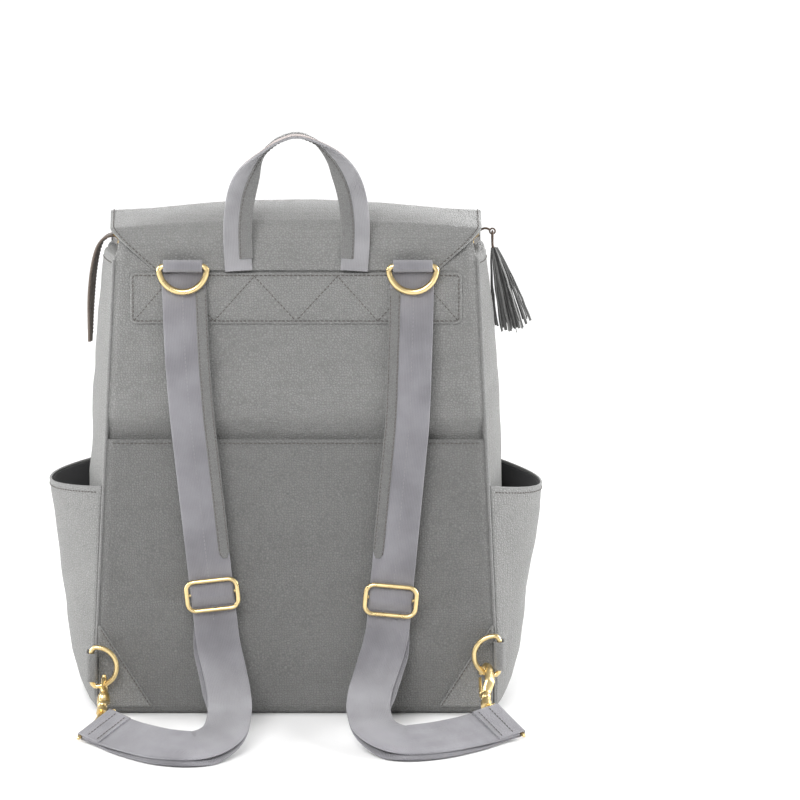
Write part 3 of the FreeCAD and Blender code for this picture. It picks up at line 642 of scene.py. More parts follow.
def panel(side, zs, off, soft, nx=72, edge=1.0, roll=2.6, roll_w=7.0):
    """Grid of a back (-1) or front (+1) panel; its side edges turn in to the seam."""
    P = np.zeros((len(zs), nx, 3))
    # columns gather towards the seams
    s = np.linspace(-1, 1, nx)
    s = np.sign(s) * (1 - (1 - np.abs(s)) ** 1.25)
    for i, z in enumerate(zs):
        w = half_w(z) + edge
        y0 = half_d(z) - off(z)
        for j, k in enumerate(s):
            x = w * k
            d = w - abs(x)
            y = y0 - roll * (1 - smooth(0, roll_w, d)) + soft(x, z)
            P[i, j] = (x, side * y, z)
    return P


BOT = [0.3, 0.9, 2.0, 3.6, 5.6, 8.2, 12.0]


def back_soft(x, z):
    k = smooth(10, 60, z) * (1 - smooth(322, 338, z)) * smooth(0, 22, half_w(z) - abs(x))
    b = 1.1 * fbm(x, 0, z, 70, 3.1) + 0.7 * fbm(x, 0, z, 33, 9.2)
    # creases that run across the panel just under the band
    b += -1.1 * math.exp(-((z - 301 - 0.05 * x + 5 * math.sin(x / 40)) / 6.5) ** 2) * smooth(0, 60, abs(x + 20)) * 0.8
    b += 0.9 * math.exp(-((z - 276 + 4 * math.sin(x / 31)) / 9.0) ** 2)
    b += 0.8 * (1 - (x / 150) ** 2) * math.sin(math.pi * min(1.0, max(0.0, (z - 240) / 86.0)))
    # slanting folds from the band's ends towards the sides
    for s_ in (-1, 1):
        b += -0.35 * math.exp(-(((z - 306) + 0.42 * (s_ * x - 60)) / 5.0) ** 2) * smooth(50, 80, s_ * x) * (1 - smooth(120, 146, s_ * x))
    return 2.0 * k * b


def slip_soft(x, z):
    k = smooth(6, 50, z) * (1 - smooth(222, 238, z)) * smooth(0, 26, half_w(z) - abs(x))
    b = 1.2 * fbm(x, 0, z, 90, 5.5) + 0.6 * fbm(x, 0, z, 38, 1.7)
    b += 2.6 * (1 - (x / 170) ** 2) * math.sin(math.pi * min(1, z / 230)) * (1 - smooth(90, 150, abs(x)) * (1 - smooth(80, 130, z)))
    b += -1.2 * math.exp(-((z - 62 - 0.35 * abs(x - 20)) / 10.0) ** 2) * smooth(30, 110, abs(x))
    return 1.35 * k * b


def deep(z):
    if z <= 240:
        return 7.4
    if z >= 262:
        return 0.0
    return 7.4 - 7.4 * smooth(240, 262, z)


def rise(z):
    # above the seam the panel carries on under the flap and leans in
    return 0.0 if z < 388 else 0.05 * (z - 388) + 7.0 * ((z - 388) / 21.0) ** 2


zs = list(np.linspace(200, 236, 4)) + list(np.linspace(239, 268, 12)) + list(np.linspace(274, 390, 44)) + [393, 396, 399, 402, 405, 407.5, 409.4]
P = panel(-1, zs, lambda z: deep(z) + rise(z), back_soft)
for i, z in enumerate(zs):
    P[i, :, 0] *= 1 - 0.024 * smooth(384, 409, z)
up = leather_sheet("back_panel_leather", P, 2.2, flip=True)
put(up, M_LEATHER, "root", ["back_panel"])
zs = [12.0, 60.0, 120.0, 170.0, 204.0]
lowP = panel(-1, zs, lambda z: 7.6, lambda x, z: 0.0, nx=30, edge=-4.0, roll=0.0)
put(leather_sheet("back_panel_lower_leather", lowP, 2.0, flip=True), M_TRIM, "root", ["back_panel"])

zs = BOT + list(np.linspace(18, 232, 62)) + [235.5, 238.2, 240.0]
P = panel(-1, zs, lambda z: 0.0 if z < 239 else 0.0, slip_soft)
# the slip pocket takes the darker copy of the leather: painted shade low on the back
put(leather_sheet("back_slip_pocket_leather", P, 2.0, flip=True, edge=0.9), M_LEATHER_PAINTED_SHADE_LOW, "root", ["back_slip_pocket"])


def on_back(x, z, off=0.0):
    return V3([x, -(half_d(z) + off), z])


NB = V3([0.0, -1.0, -(HALF_D_LOW - HALF_D_TOP) / Z_TOP])
NB /= np.linalg.norm(NB)


def line_on(fn, pts, n=40):
    """Points along a polyline of (a, b) pairs, mapped by fn, n to each leg."""
    out = []
    for (a0, b0), (a1, b1) in zip(pts, pts[1:]):
        for t in np.linspace(0, 1, n, endpoint=False):
            out.append(fn(a0 + (a1 - a0) * t, b0 + (b1 - b0) * t))
    out.append(fn(*pts[-1]))
    return np.array(out)


# slip pocket mouth: folded edge and its row of stitches
stitch("root", "back", line_on(lambda x, z: V3([x, -(half_d(z) + slip_soft(x, z)) - 0.05, z]), [(-156, 236.6), (156, 236.6)], 60), NB, pitch=3.6, length=2.8)

# gussets
def gusset_grid(side, zs, nt=41, out=0.0):
    P = np.zeros((len(zs), nt, 3))
    for i, z in enumerate(zs):
        d = half_d(z) - 2.9
        g, w = table(GUSSET, z), half_w(z)
        for j, t in enumerate(np.linspace(-1, 1, nt)):
            k = smooth(0.0, 0.25, 1 - abs(t)) * smooth(5, 60, z)
            s = 1.6 * fbm(side * 50, t * 60, z, 48, 2.2) + 0.9 * fbm(side * 90, t * 60, z, 22, 6.1)
            # pinch where the side folds in under the flap
            s += -3.2 * math.exp(-(t / 0.16) ** 2) * smooth(250, 392, z)
            s += -1.6 * math.exp(-((z - 302 - 26 * side * t) / 7.0) ** 2) * smooth(0.15, 0.5, abs(t + 0.2))
            P[i, j] = (side * (w + g * (1 - abs(t) ** 2.2) + k * s + out), d * t, z)
    return P


zsg = BOT + list(np.linspace(18, 388, 84)) + [391.5, 394.0]
for name, side in (("left", -1), ("right", 1)):
    P = gusset_grid(side, zsg)
    top_rows = []
    for z, inn in ((395.4, 0.8), (396.5, 2.6), (397.0, 5.6), (396.9, 10.0), (396.2, 16.0), (394.0, 22.0)):
        row = P[-1].copy()
        row[:, 0] -= side * inn
        row[:, 1] *= 1 - 0.004 * inn
        row[:, 2] = z
        top_rows.append(row)
    P = np.concatenate([P, np.array(top_rows)])
    put(leather_sheet("gusset_leather_" + name, P, 2.2, flip=side > 0), M_LEATHER, "root", ["gusset_" + name])
    row = gusset_grid(side, [389.4, 390.0])[0]
    stitch("root", "sides", row[1:-1] + V3([side * 0.1, 0, 0]), V3([side, 0, 0.05]), pitch=3.6, length=2.8)

# side pockets: leather outside, charcoal lining inside, rim turned over
DIP = {-1: 6.0, 1: 10.0}
zsp = [3.0, 5.5, 8.0, 13.0, 20.0] + list(np.linspace(26, 190, 52)) + [194.5, 198.0]


def pocket_grid(side, zs, inner=0.0, nt=57):
    P = np.zeros((len(zs), nt, 3))
    for i, z in enumerate(zs):
        d = half_d(z) - 2.9
        p, w = table(POCKET, z), half_w(z) + 2.6
        for j, t in enumerate(np.linspace(-1, 1, nt)):
            bow = 1 - abs(t) ** 2.2
            k = smooth(0.0, 0.3, 1 - abs(t)) * smooth(10, 60, z) * (1 - smooth(170, 196, z))
            s = 2.0 * fbm(side * 30, t * 70, z, 60, 4.4) + 1.0 * fbm(side * 30, t * 70, z, 27, 8.8)
            s += -2.2 * math.exp(-((z - 92 - 40 * t * side) / 16.0) ** 2) * smooth(0, .5, abs(t))
            dip = DIP[side] * bow * smooth(120, 198, z)
            P[i, j] = (side * (w + p * bow + k * s - inner), d * t, z - dip)
    return P


for name, side in (("left", -1), ("right", 1)):
    P = pocket_grid(side, zsp)
    put(leather_sheet("side_pocket_leather_" + name, P, 1.3, flip=side > 0, edge=0.6), M_LEATHER, "root", ["side_pocket_" + name])
    Q = pocket_grid(side, zsp[1:-1] + [196.4], inner=1.45)
    put(leather_sheet("side_pocket_lining_" + name, Q, 0.6, flip=side > 0, edge=0.2), M_LINING, "root", ["side_pocket_" + name])
    top = pocket_grid(side, [194.0, 194.6])[0]
    n_out = np.cross(np.gradient(top, axis=0), V3([0, 0, 1.0]))
    n_out /= np.linalg.norm(n_out, axis=1, keepdims=True)
    n_out *= np.sign((n_out[:, 0] * side).sum())
    stitch("root", "sides", top[1:-1] + n_out[1:-1] * 0.05, n_out[1:-1], pitch=3.6, length=2.8)
    # rim: a narrow rounded edge
    rim = pocket_grid(side, [198.0, 198.3])[0]
    cen = rim - n_out * 1.0
    put(mesh_obj("side_pocket_rim_" + name, *tube(cen, 1.15, 10)), M_TRIM, "root", ["side_pocket_" + name])

# front panels
def front_soft(x, z):
    k = smooth(8, 50, z) * smooth(0, 26, half_w(z) - abs(x))
    b = 1.1 * fbm(x, 40, z, 80, 7.7) + 0.5 * fbm(x, 40, z, 35, 2.9)
    near = smooth(4, 26, abs(z - 176))
    return k * near * b * (1 - smooth(205, 225, z) * 0.7)


zs = [182.0, 183.4, 186.0] + list(np.linspace(192, 388, 44)) + [391.5, 394.0]
put(leather_sheet("front_upper_leather", panel(1, zs, lambda z: 0.0, front_soft), 2.2), M_LEATHER, "root", ["front_upper_panel"])
zs = BOT + list(np.linspace(18, 162, 40)) + [165.5, 168.6, 170.0]
put(leather_sheet("front_pocket_leather", panel(1, zs, lambda z: 0.0, front_soft), 2.2), M_LEATHER, "root", ["front_pocket_panel"])
NF = V3([0.0, 1.0, (HALF_D_LOW - HALF_D_TOP) / Z_TOP])
NF /= np.linalg.norm(NF)
for z in (166.6, 185.6):
    stitch("root", "front", line_on(lambda x, zz: V3([x, half_d(zz) + front_soft(x, zz) + 0.1, zz]), [(-158, z), (158, z)], 60), NF, pitch=3.4, length=2.6)
zs = [14.0, 60.0, 120.0, 170.0, 205.0]
put(leather_sheet("front_pocket_lining_cloth", panel(1, zs, lambda z: 8.2, lambda x, z: 0, nx=24, edge=-4.0, roll=0.0), 0.8), M_LINING, "root", ["front_pocket_lining"])

# base
xs, ys = np.linspace(-157.5, 157.5, 22), np.linspace(-69, 69, 12)
P = np.zeros((len(ys), len(xs), 3))
for i, y in enumerate(ys):
    for j, x in enumerate(xs):
        P[i, j] = (x, y, 0.0)
put(leather_sheet("base_leather", P, 2.4, flip=False), M_TRIM, "root", ["base_panel"])
for o in bpy.data.objects:
    if o.name == "base_leather":
        # outer face looks down
        o.data.flip_normals() if o.data.polygons[0].normal.z > 0 else None

# lining of the main compartment
def lining_shell():
    per = []
    for a, b in (((-1, -1), (1, -1)), ((1, -1), (1, 1)), ((1, 1), (-1, 1)), ((-1, 1), (-1, -1))):
        for t in np.linspace(0, 1, 26, endpoint=False):
            per.append((a[0] + (b[0] - a[0]) * t, a[1] + (b[1] - a[1]) * t))
    zz = [6.2] + list(np.linspace(10, 390, 40)) + [395.2]
    outs, ins = [], []
    for z in zz:
        w, d = half_w(max(z, 13)) - 4.9, half_d(max(z, 13)) - 11.9
        ro, ri = [], []
        for a, b in per:
            wv = 0.5 * fbm(a * 150, b * 60, z, 30, 3.0) * smooth(0, 0.2, 1 - min(abs(a), abs(b))) * (1 - smooth(380, 394, z))
            nx, ny = (a, 0) if abs(a) >= 1 else (0, b)
            ro.append((a * w, b * d, z))
            ri.append((a * w - nx * (0.8 + abs(wv)), b * d - ny * (0.8 + abs(wv)), z if z > 7 else 7.0))
        outs.append(ro)
        ins.append(ri)
    O, I = np.array(outs), np.array(ins)
    n, k = O.shape[:2]
    verts = np.concatenate([O.reshape(-1, 3), I.reshape(-1, 3)])
    faces = []
    off = n * k
    for i in range(n - 1):
        for j in range(k):
            j2 = (j + 1) % k
            faces.append((i * k + j, i * k + j2, (i + 1) * k + j2, (i + 1) * k + j))
            faces.append((off + (i + 1) * k + j, off + (i + 1) * k + j2, off + i * k + j2, off + i * k + j))
    for j in range(k):
        j2 = (j + 1) % k
        faces.append(((n - 1) * k + j, (n - 1) * k + j2, off + (n - 1) * k + j2, off + (n - 1) * k + j))
    faces.append(tuple(range(k - 1, -1, -1)))
    faces.append(tuple(off + j for j in range(k)))
    return mesh_obj("main_lining_cloth", verts, faces, verts[:, :2] * 0.001)


put(lining_shell(), M_LINING, "root", ["lining"])


# plates sewn on the back: band, corner patches
def inset_corners(pts, d):
    """Corner points of a convex outline drawn in by d all round."""
    P = [V3(q, float) for q in pts]
    n = len(P)
    area2 = sum(P[i - 1][0] * P[i][1] - P[i][0] * P[i - 1][1] for i in range(n))
    g = 1.0 if area2 > 0 else -1.0
    out = []
    for i in range(n):
        a, b, c = P[i - 1], P[i], P[(i + 1) % n]
        e0, e1 = (b - a) / np.linalg.norm(b - a), (c - b) / np.linalg.norm(c - b)
        n0, n1 = V3([-e0[1], e0[0]]) * g, V3([-e1[1], e1[0]]) * g
        k = 1 + n0.dot(n1)
        out.append(tuple(b + (n0 + n1) * d / max(k, 0.15)))
    return out


def plate(name, corners, radii, off, thick, n=6):
    """Flat sewn-on leather piece: corners (x, z) with their radii, a rounded edge, slightly pillowed between its seams."""
    rings = [(0.0, 0.0), (0.0, thick * 0.55), (0.3, thick * 0.86), (0.9, thick), (2.0, thick * 1.02), (3.0, thick * 0.86), (4.4, thick * 1.02), (8.0, thick * 1.16)]
    verts, faces, k = [], [], 0
    for d, h in rings:
        loop = rounded(inset_corners(corners, d), [max(r - d, 0.4) for r in radii], n)
        k = len(loop)
        for x, z in loop:
            verts.append(on_back(x, z, off + h))
    for r in range(len(rings) - 1):
        for i in range(k):
            i2 = (i + 1) % k
            faces.append((r * k + i, r * k + i2, (r + 1) * k + i2, (r + 1) * k + i))
    faces.append(tuple((len(rings) - 1) * k + i for i in range(k)))
    faces.append(tuple(range(k - 1, -1, -1)))
    verts = np.array(verts)
    o = mesh_obj(name, verts, faces, verts[:, [0, 2]] * 0.001, sharp=60)
    bm_fix(o)
    return o


def bm_fix(o):
    import bmesh
    bm = bmesh.new()
    bm.from_mesh(o.data)
    bmesh.ops.recalc_face_normals(bm, faces=bm.faces)
    bm.to_mesh(o.data)
    bm.free()


def rounded(outline, r, n=6):
    """Outline with its corners rounded; r per corner or one number."""
    out = []
    k = len(outline)
    for i in range(k):
        a, b, c = (V3(outline[(i + d) % k], float) for d in (-1, 0, 1))
        rr = r[i] if isinstance(r, (list, tuple)) else r
        e0, e1 = (a - b) / np.linalg.norm(a - b), (c - b) / np.linalg.norm(c - b)
        ang = math.acos(max(-1, min(1, e0.dot(e1))))
        if rr <= 0:
            out.append(tuple(b))
            continue
        d = rr / math.tan(ang / 2)
        m = (e0 + e1) / np.linalg.norm(e0 + e1)
        o = b + m * rr / math.sin(ang / 2)
        p0, p1 = b + e0 * d - o, b + e1 * d - o
        a0, a1 = math.atan2(p0[1], p0[0]), math.atan2(p1[1], p1[0])
        da = (a1 - a0 + math.pi) % (2 * math.pi) - math.pi
        for q in range(n + 1):
            t = a0 + da * q / n
            out.append((o[0] + rr * math.cos(t), o[1] + rr * math.sin(t)))
    return out


B0, B1, BH = 339.0, 382.6, 140.0
put(plate("band_leather", [(-BH, B0), (BH, B0), (BH, B1), (-BH, B1)], [5.0] * 4, 0.4, 1.6), M_LEATHER, "root", ["reinforcement_band"])
inner = rounded([(-BH + 2.6, B0 + 2.6), (BH - 2.6, B0 + 2.6), (BH - 2.6, B1 - 2.4), (-BH + 2.6, B1 - 2.4)], 2.6)
band_pt = lambda x, z: on_back(x, z, 2.02)
stitch("root", "band", line_on(band_pt, inner + [inner[0]], 14), NB, pitch=3.6, length=2.8)
zig = [(-137, 341.5), (-104, 379.5), (-69, 341.5), (-35, 379.5), (0, 341.5), (35, 379.5), (69, 341.5), (104, 379.5), (137, 341.5)]
stitch("root", "band", line_on(band_pt, zig, 16), NB, pitch=3.6, length=2.8)
for name, s in (("left", -1), ("right", 1)):
    tri = [(s * 169.0, 8.0), (s * 122.5, 8.0), (s * 169.0, 82.0)]
    put(plate("corner_patch_leather_" + name, tri, [0.6, 1.2, 1.2], 0.4, 1.3), M_LEATHER, "root", ["corner_patch_" + name])
    stitch("root", "back", line_on(lambda x, z: on_back(x, z, 1.75), [(s * 124.6, 8.6), (s * 167.0, 76.0)], 30), NB, pitch=3.4, length=2.7)
# side seams of the back: a piping bead beside the turned edge, from the base to the flap
for name, s in (("left", -1), ("right", 1)):
    bead = [V3([s * (half_w(z) + 0.4), -(half_d(z) - 2.5), z]) for z in [1.4, 2.6, 4.4, 7.0, 11.0] + list(np.linspace(16, 392.5, 90))]
    put(mesh_obj("back_seam_piping_" + name, *tube(bead, 1.5, 10)), M_TRIM, "root", ["gusset_" + name])

# ------------------------------------------------------------ flap: one sheet, bending over the back and front edges
FLAP_Z, DOME, FT = 418.0, 15.0, 2.4
FN = 61


def flap_point(f, s, side_w):
    """f across -1..1, not used; s: index into the profile, not used."""
    return None


REAR_R, FRONT_R = 21.0, 12.0
N_TAB, N_REAR = 9, 14


def tab_w(z):
    return min(157.2, 119.7 + 1.11 * (z - 384.4))


def profile():
    """Outer line of the flap from the tab's lower edge over the top to the front edge: (y, z, half width, dome share, drop share)."""
    pts = []
    zr = FLAP_Z - REAR_R
    for z in np.linspace(384.4, zr, N_TAB):
        pts.append((-(half_d(z) + 2.7), z, tab_w(z), 0.0, 0.0))
    y0 = -(half_d(zr) + 2.7)
    for a in np.linspace(0, 90, N_REAR + 1)[1:]:
        t = math.radians(a)
        z = zr + REAR_R * math.sin(t)
        y = y0 + REAR_R - REAR_R * math.cos(t)
        pts.append((y, z, tab_w(z), smooth(0.0, 1.0, (z - 399) / 60.0) * 0 + 0.55 * (math.sin(t) ** 3), 0.0))
    ys = y0 + REAR_R
    zf = FLAP_Z - FRONT_R
    yf = half_d(zf) + 3.6 + FT
    for y in np.linspace(ys, yf - FRONT_R, 36)[1:]:
        c = 0.5 * (ys + yf - FRONT_R)
        g = 1 - (abs(y - c) / (yf - FRONT_R - c)) ** 2.4
        lo = 0.55 if y < c else 0.30
        pts.append((y, FLAP_Z, 157.2 + 4.8 * (y - ys) / (yf - FRONT_R - ys), lo + (1 - lo) * g, 0.0))
    for a in np.linspace(90, 0, 11)[1:]:
        t = math.radians(a)
        pts.append((yf - FRONT_R + FRONT_R * math.cos(t), zf + FRONT_R * math.sin(t), 162.0, 0.30 * math.sin(t) ** 2, 0.0))
    for k in np.linspace(0, 1, 44)[1:]:
        z = zf + (243.0 - zf) * k
        pts.append((half_d(z) + 3.6 + FT, z, 162.0 + 5.0 * k, 0.0, k))
    return pts


Z_FRONT0 = FLAP_Z - FRONT_R
PROF = profile()


def flap_grid():
    fs = np.linspace(-1, 1, FN)
    fs = np.sign(fs) * (1 - (1 - np.abs(fs)) ** 1.15)
    P = np.zeros((len(PROF), FN, 3))
    for i, (y, z, w, g, k) in enumerate(PROF):
        for j, f in enumerate(fs):
            x = f * w
            zz = z + DOME * (1 - f * f) * g
            yy = y
            if k > 0:
                # the front edge falls to a point in the middle
                zz = Z_FRONT0 + ((243.0 - 32.0 * (1 - abs(f))) - Z_FRONT0) * k
                yy = half_d(zz) + 3.6 + FT
                e = smooth(0, 0.12, 1 - abs(f))
                yy += 0.9 * e * fbm(x, 90, zz, 70, 1.3) * smooth(0, 0.2, k) * (1 - smooth(.9, 1, k)) + 0.6
            elif g > 0:
                zz += 0.8 * fbm(x, y, 0, 55, 2.4) * smooth(0, 0.1, 1 - abs(f)) * g
            P[i, j] = (x, yy, zz)
    return P, fs


FP, FS = flap_grid()
n_tab = N_TAB + N_REAR
cut = next(i for i, p in enumerate(PROF) if p[0] > 38)
A, Bm = FP[: cut + 1], FP[cut:]
fa = leather_sheet("flap_rear_leather", A, 2.2, flip=True, edge=0.8)
fa.data.materials.append(M_LEATHER)
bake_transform(fa)
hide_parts("flap_back", "flap_top")
fb = leather_sheet("flap_front_leather", Bm, 2.2, flip=True, edge=0.8)
fb.data.materials.append(M_LEATHER)
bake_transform(fb)
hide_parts("flap_top", "flap_front")

FNRM = -normals_of(FP)


def along_edge(rows, col_from_edge_mm, side):
    """Line on the flap a few mm in from its side edge."""
    pts, nn = [], []
    for i in rows:
        w = PROF[i][2]
        f = side * (1 - col_from_edge_mm / w)
        p = V3([np.interp(f, FS, FP[i, :, k]) for k in range(3)])
        q = V3([np.interp(f, FS, FNRM[i, :, k]) for k in range(3)])
        pts.append(p + q * 0.05)
        nn.append(q)
    return np.array(pts), np.array(nn)


tab_rows = range(1, N_TAB + 3)
top_rows = range(N_TAB + 2, cut + 12)
front_rows = [i for i, p in enumerate(PROF) if p[4] > 0.02]
for s in (-1, 1):
    p, q = along_edge(tab_rows, 3.2, s)
    stitch("root", "flap", p, q, pitch=3.6, length=2.8)
    p, q = along_edge(top_rows, 3.0, s)
    stitch("flap_top", "flap", p, q, pitch=3.6, length=2.8)
    p, q = along_edge(front_rows[:-1], 3.0, s)
    stitch("flap_front", "flap", p, q, pitch=3.6, length=2.8)
# V edge: row 3.4 mm above the cut
pts, nn = [], []
for j, f in enumerate(FS):
    if abs(f) > 0.985:
        continue
    col, cn = FP[front_rows, j], FNRM[front_rows, j]
    arc = np.concatenate([[0], np.cumsum(np.linalg.norm(np.diff(col, axis=0), axis=1))])
    t = arc[-1] - 3.4
    q = V3([np.interp(t, arc, cn[:, k]) for k in range(3)])
    pts.append(V3([np.interp(t, arc, col[:, k]) for k in range(3)]) + q * 0.05)
    nn.append(q)
stitch("flap_front", "flap", pts, nn, pitch=3.6, length=2.8)

# ------------------------------------------------------------ handle
HX, HY = 0.5, -71.0
arch = [
    (-48.5, HY, 384.8, 1, 0, 0), (-49.8, HY, 405, 1, 0, 0), (-49.8, HY - 0.6, 426, 1, 0, 0.05), (-47.0, HY - 1.5, 448, 0.97, 0.12, 0.16),
    (-41.5, HY - 2.0, 465, 0.84, 0.42, 0.30), (-32.5, HY - 1.8, 480, 0.52, 0.80, 0.25), (-19.0, HY - 0.8, 492, 0.18, 0.98, 0.08),
    (-7.0, HY - 0.2, 497.5, 0.04, 1, 0.01), (0.0, HY, 498.5, 0, 1, 0),
]
arch = [(x + HX, y, z, a, b, c) for x, y, z, a, b, c in arch]
route = arch + [(2 * HX - x, y, z, -a, b, -c) for x, y, z, a, b, c in arch[-2::-1]]
rows = catmull(route, 9)
C, T, U, NN = frames(rows)
hw = mesh_obj("handle_webbing_band", *strip(rows, 23.0, 1.9, lip=0.15))
# the handle takes the lighter webbing copy: painted light at the top
put(hw, M_WEB_HANDLE_PAINTED_LIGHT, "handle", ["handle_webbing"])
hl = mesh_obj("handle_leather_wrap", *strip(rows[5:-5], 11.6, 4.2, lateral=6.9, crown=0.15))
put(hl, M_STRAP_TRIM, "handle", ["handle_leather"])
# pale strip along the handle's arch: painted highlight where the top of the handle catches the light
hl2 = mesh_obj("handle_reverse_facing", *strip(rows[10:-10], 19.0, 0.7, lateral=-1.0, lift=1.35))
put(hl2, M_PALE_PAINTED_HIGHLIGHT, "handle", ["handle_webbing"])
for lat in (2.6,):
    line = C + U * lat - NN * 2.0
    stitch("handle", "handle", line[5:-5], -NN[5:-5], pitch=3.4, length=2.6)

# ------------------------------------------------------------ shoulder straps
STRAP_W, STRAP_T, TRIM_W = 37.0, 1.8, 9.5
UPPER = {
    "left": [(-95.0, -71.5, 383.0), (-94.0, -72.0, 366.0), (-93.0, -78.5, 340.0), (-91.5, -84.0, 310.0), (-89.0, -86.0, 276.0),
             (-87.0, -87.0, 255.0), (-71.0, -91.5, 110.0), (-68.5, -92.2, 87.0)],
    "right": [(98.0, -71.5, 383.0), (97.5, -72.0, 366.0), (97.0, -78.5, 340.0), (96.0, -84.0, 310.0), (95.0, -86.0, 276.0),
              (94.0, -87.0, 255.0), (80.5, -91.5, 105.0), (78.5, -92.2, 82.0)],
}
LOWER = {
    "left": [(-68.2, -92.5, 85.4, 1, 0, 0.1), (-65.5, -97.0, 66.0, 1, 0.02, 0.05), (-60.5, -111.0, 48.0, 1, 0.05, 0.02), (-56.5, -134.0, 35.0, 1, 0.0, 0.0),
             (-55.5, -163.0, 25.0, 0.99, -0.10, -0.03), (-61.0, -192.0, 16.5, 0.84, -0.50, -0.20), (-80.0, -213.0, 13.0, 0.36, -0.86, -0.36),
             (-108.0, -210.0, 12.6, -0.22, -0.88, -0.42), (-134.0, -191.0, 12.6, -0.52, -0.75, -0.42), (-152.0, -172.0, 12.6, -0.56, -0.72, -0.42), (-165.5, -155.0, 12.8, -0.56, -0.72, -0.42)],
    "right": [(78.3, -92.5, 79.6, 1, 0, -0.1), (74.5, -97.0, 63.0, 1, -0.02, -0.05), (68.0, -110.0, 46.0, 1, -0.05, -0.02), (62.5, -131.0, 34.0, 1, 0.0, 0.0),
              (61.0, -156.0, 24.5, 0.99, 0.10, 0.03), (67.5, -181.0, 17.0, 0.84, 0.50, 0.20), (87.0, -198.0, 13.2, 0.36, 0.86, 0.36),
              (114.0, -193.0, 13.0, -0.20, 0.88, 0.43), (141.0, -177.0, 13.2, -0.48, 0.76, 0.44), (161.0, -161.0, 13.6, -0.54, 0.71, 0.46), (176.5, -147.0, 14.2, -0.54, 0.70, 0.47)],
}
for name, s in (("left", -1), ("right", 1)):
    pts = [(*p, 1, 0, 0) for p in UPPER[name]]
    pts = pts[:-1] + [pts[-1]]
    low = LOWER[name]
    # one length of webbing: the upper run carries on into the front ply
    up = V3([p[:3] for p in pts[:-1]] + [low[0][:3]])
    arc_u = np.concatenate([[0], np.cumsum(np.linalg.norm(np.diff(up, axis=0), axis=1))])
    marks = np.linspace(0, arc_u[-1], 22)
    fine = [tuple(float(np.interp(a, arc_u, up[:, k])) for k in range(3)) + (1.0, 0.0, 0.0) for a in marks]
    whole = fine + [r for r in low[1:]]
    per = 6
    R = catmull(whole[: len(fine)], per)[:-1]
    R = np.concatenate([R, catmull(whole[len(fine) - 2:], per * 2)[per * 2:]])
    n_up = per * (len(fine) - 1)
    C, T, U, NN = frames(R)
    # the width's direction turns evenly where the front ply begins
    i0, i1 = n_up - 8, n_up + 12
    for i in range(i0, i1 + 1):
        w_ = (i - i0) / (i1 - i0)
        R[i, 3:6] = (1 - w_) * R[i0, 3:6] + w_ * R[i1, 3:6]
    # small ripples along the hanging run
    arc = np.concatenate([[0], np.cumsum(np.linalg.norm(np.diff(C, axis=0), axis=1))])
    for i in range(len(R)):
        k = smooth(20, 60, arc[i]) * (1 - smooth(180, 240, arc[i]))
        R[i, :3] += NN[i] * (0.25 * math.sin(arc[i] / 23.0 + s) * k) * (i < n_up)
    put(mesh_obj("strap_webbing_" + name, *strip(R, STRAP_W, STRAP_T, lip=0.12, across=16, part=slice(0, n_up + 1))), M_WEB, "root", ["strap_upper_" + name])
    put(mesh_obj("strap_lower_webbing_" + name, *strip(R, STRAP_W, STRAP_T, lip=0.12, across=16, part=slice(n_up, None))), M_WEB, "root", ["strap_lower_" + name])
    ret = R[n_up - 9: -6].copy()
    C, T, U, NN = frames(ret)
    m = len(ret)
    for i in range(m):
        q = i / (m - 1)
        # the under ply shows at the strap's outer side where it hangs, and sags open on the floor
        side_out = s * 4.0 * smooth(0.05, 0.20, q) * (1 - smooth(0.34, 0.46, q))
        sag = 5.5 * math.sin(math.pi * smooth(0.45, 1.0, q)) if q > 0.45 else 0.0
        o = C[i] + U[i] * side_out - NN[i] * 2.6 * np.sign(NN[i][2] if q > 0.4 else 1.0) + V3([0, -1.0, -0.9]) * sag
        lowest = o[2] - abs(U[i][2]) * (STRAP_W / 2) - 1.0
        if lowest < 0.3:
            o[2] += 0.3 - lowest
        ret[i, :3] = o
    # the under ply takes the darker webbing copy: painted shade under the front ply
    put(mesh_obj("strap_return_webbing_" + name, *strip(ret, STRAP_W - 0.6, STRAP_T, lip=0.12, across=16)), M_WEB_UNDER_PAINTED_SHADE, "root", ["strap_return_" + name])
    C, T, U, NN = frames(R)
    lat = -s * (STRAP_W / 2 - TRIM_W / 2 + 0.4)
    end = int(np.argmin(np.abs(C[:, 2] - 140.0)))
    tr = R[6: end + 1]
    taper = np.ones(len(tr))
    for k in range(1, 5):
        taper[-k] = (0.45, 0.72, 0.88, 0.97)[k - 1]
    put(mesh_obj("strap_trim_leather_" + name, *strip(tr, 9.7, 3.0, lateral=lat, lift=0.5, across=8, taper=taper)), M_STRAP_TRIM, "root", ["strap_trim_" + name])
    stitch("root", "straps", (C + U * (lat + s * 3.6) + NN * 1.88)[8:end], NN[8:end], pitch=3.4, length=2.6)
    stitch("root", "straps", (C + U * (lat - s * 3.6) + NN * 1.88)[8:end - 2], NN[8:end - 2], pitch=3.4, length=2.6)
    stitch("root", "pale_straps", (C + U * (s * 1.5) + NN * 0.92)[8:n_up], NN[8:n_up], pitch=3.4, length=2.2, r=0.26)
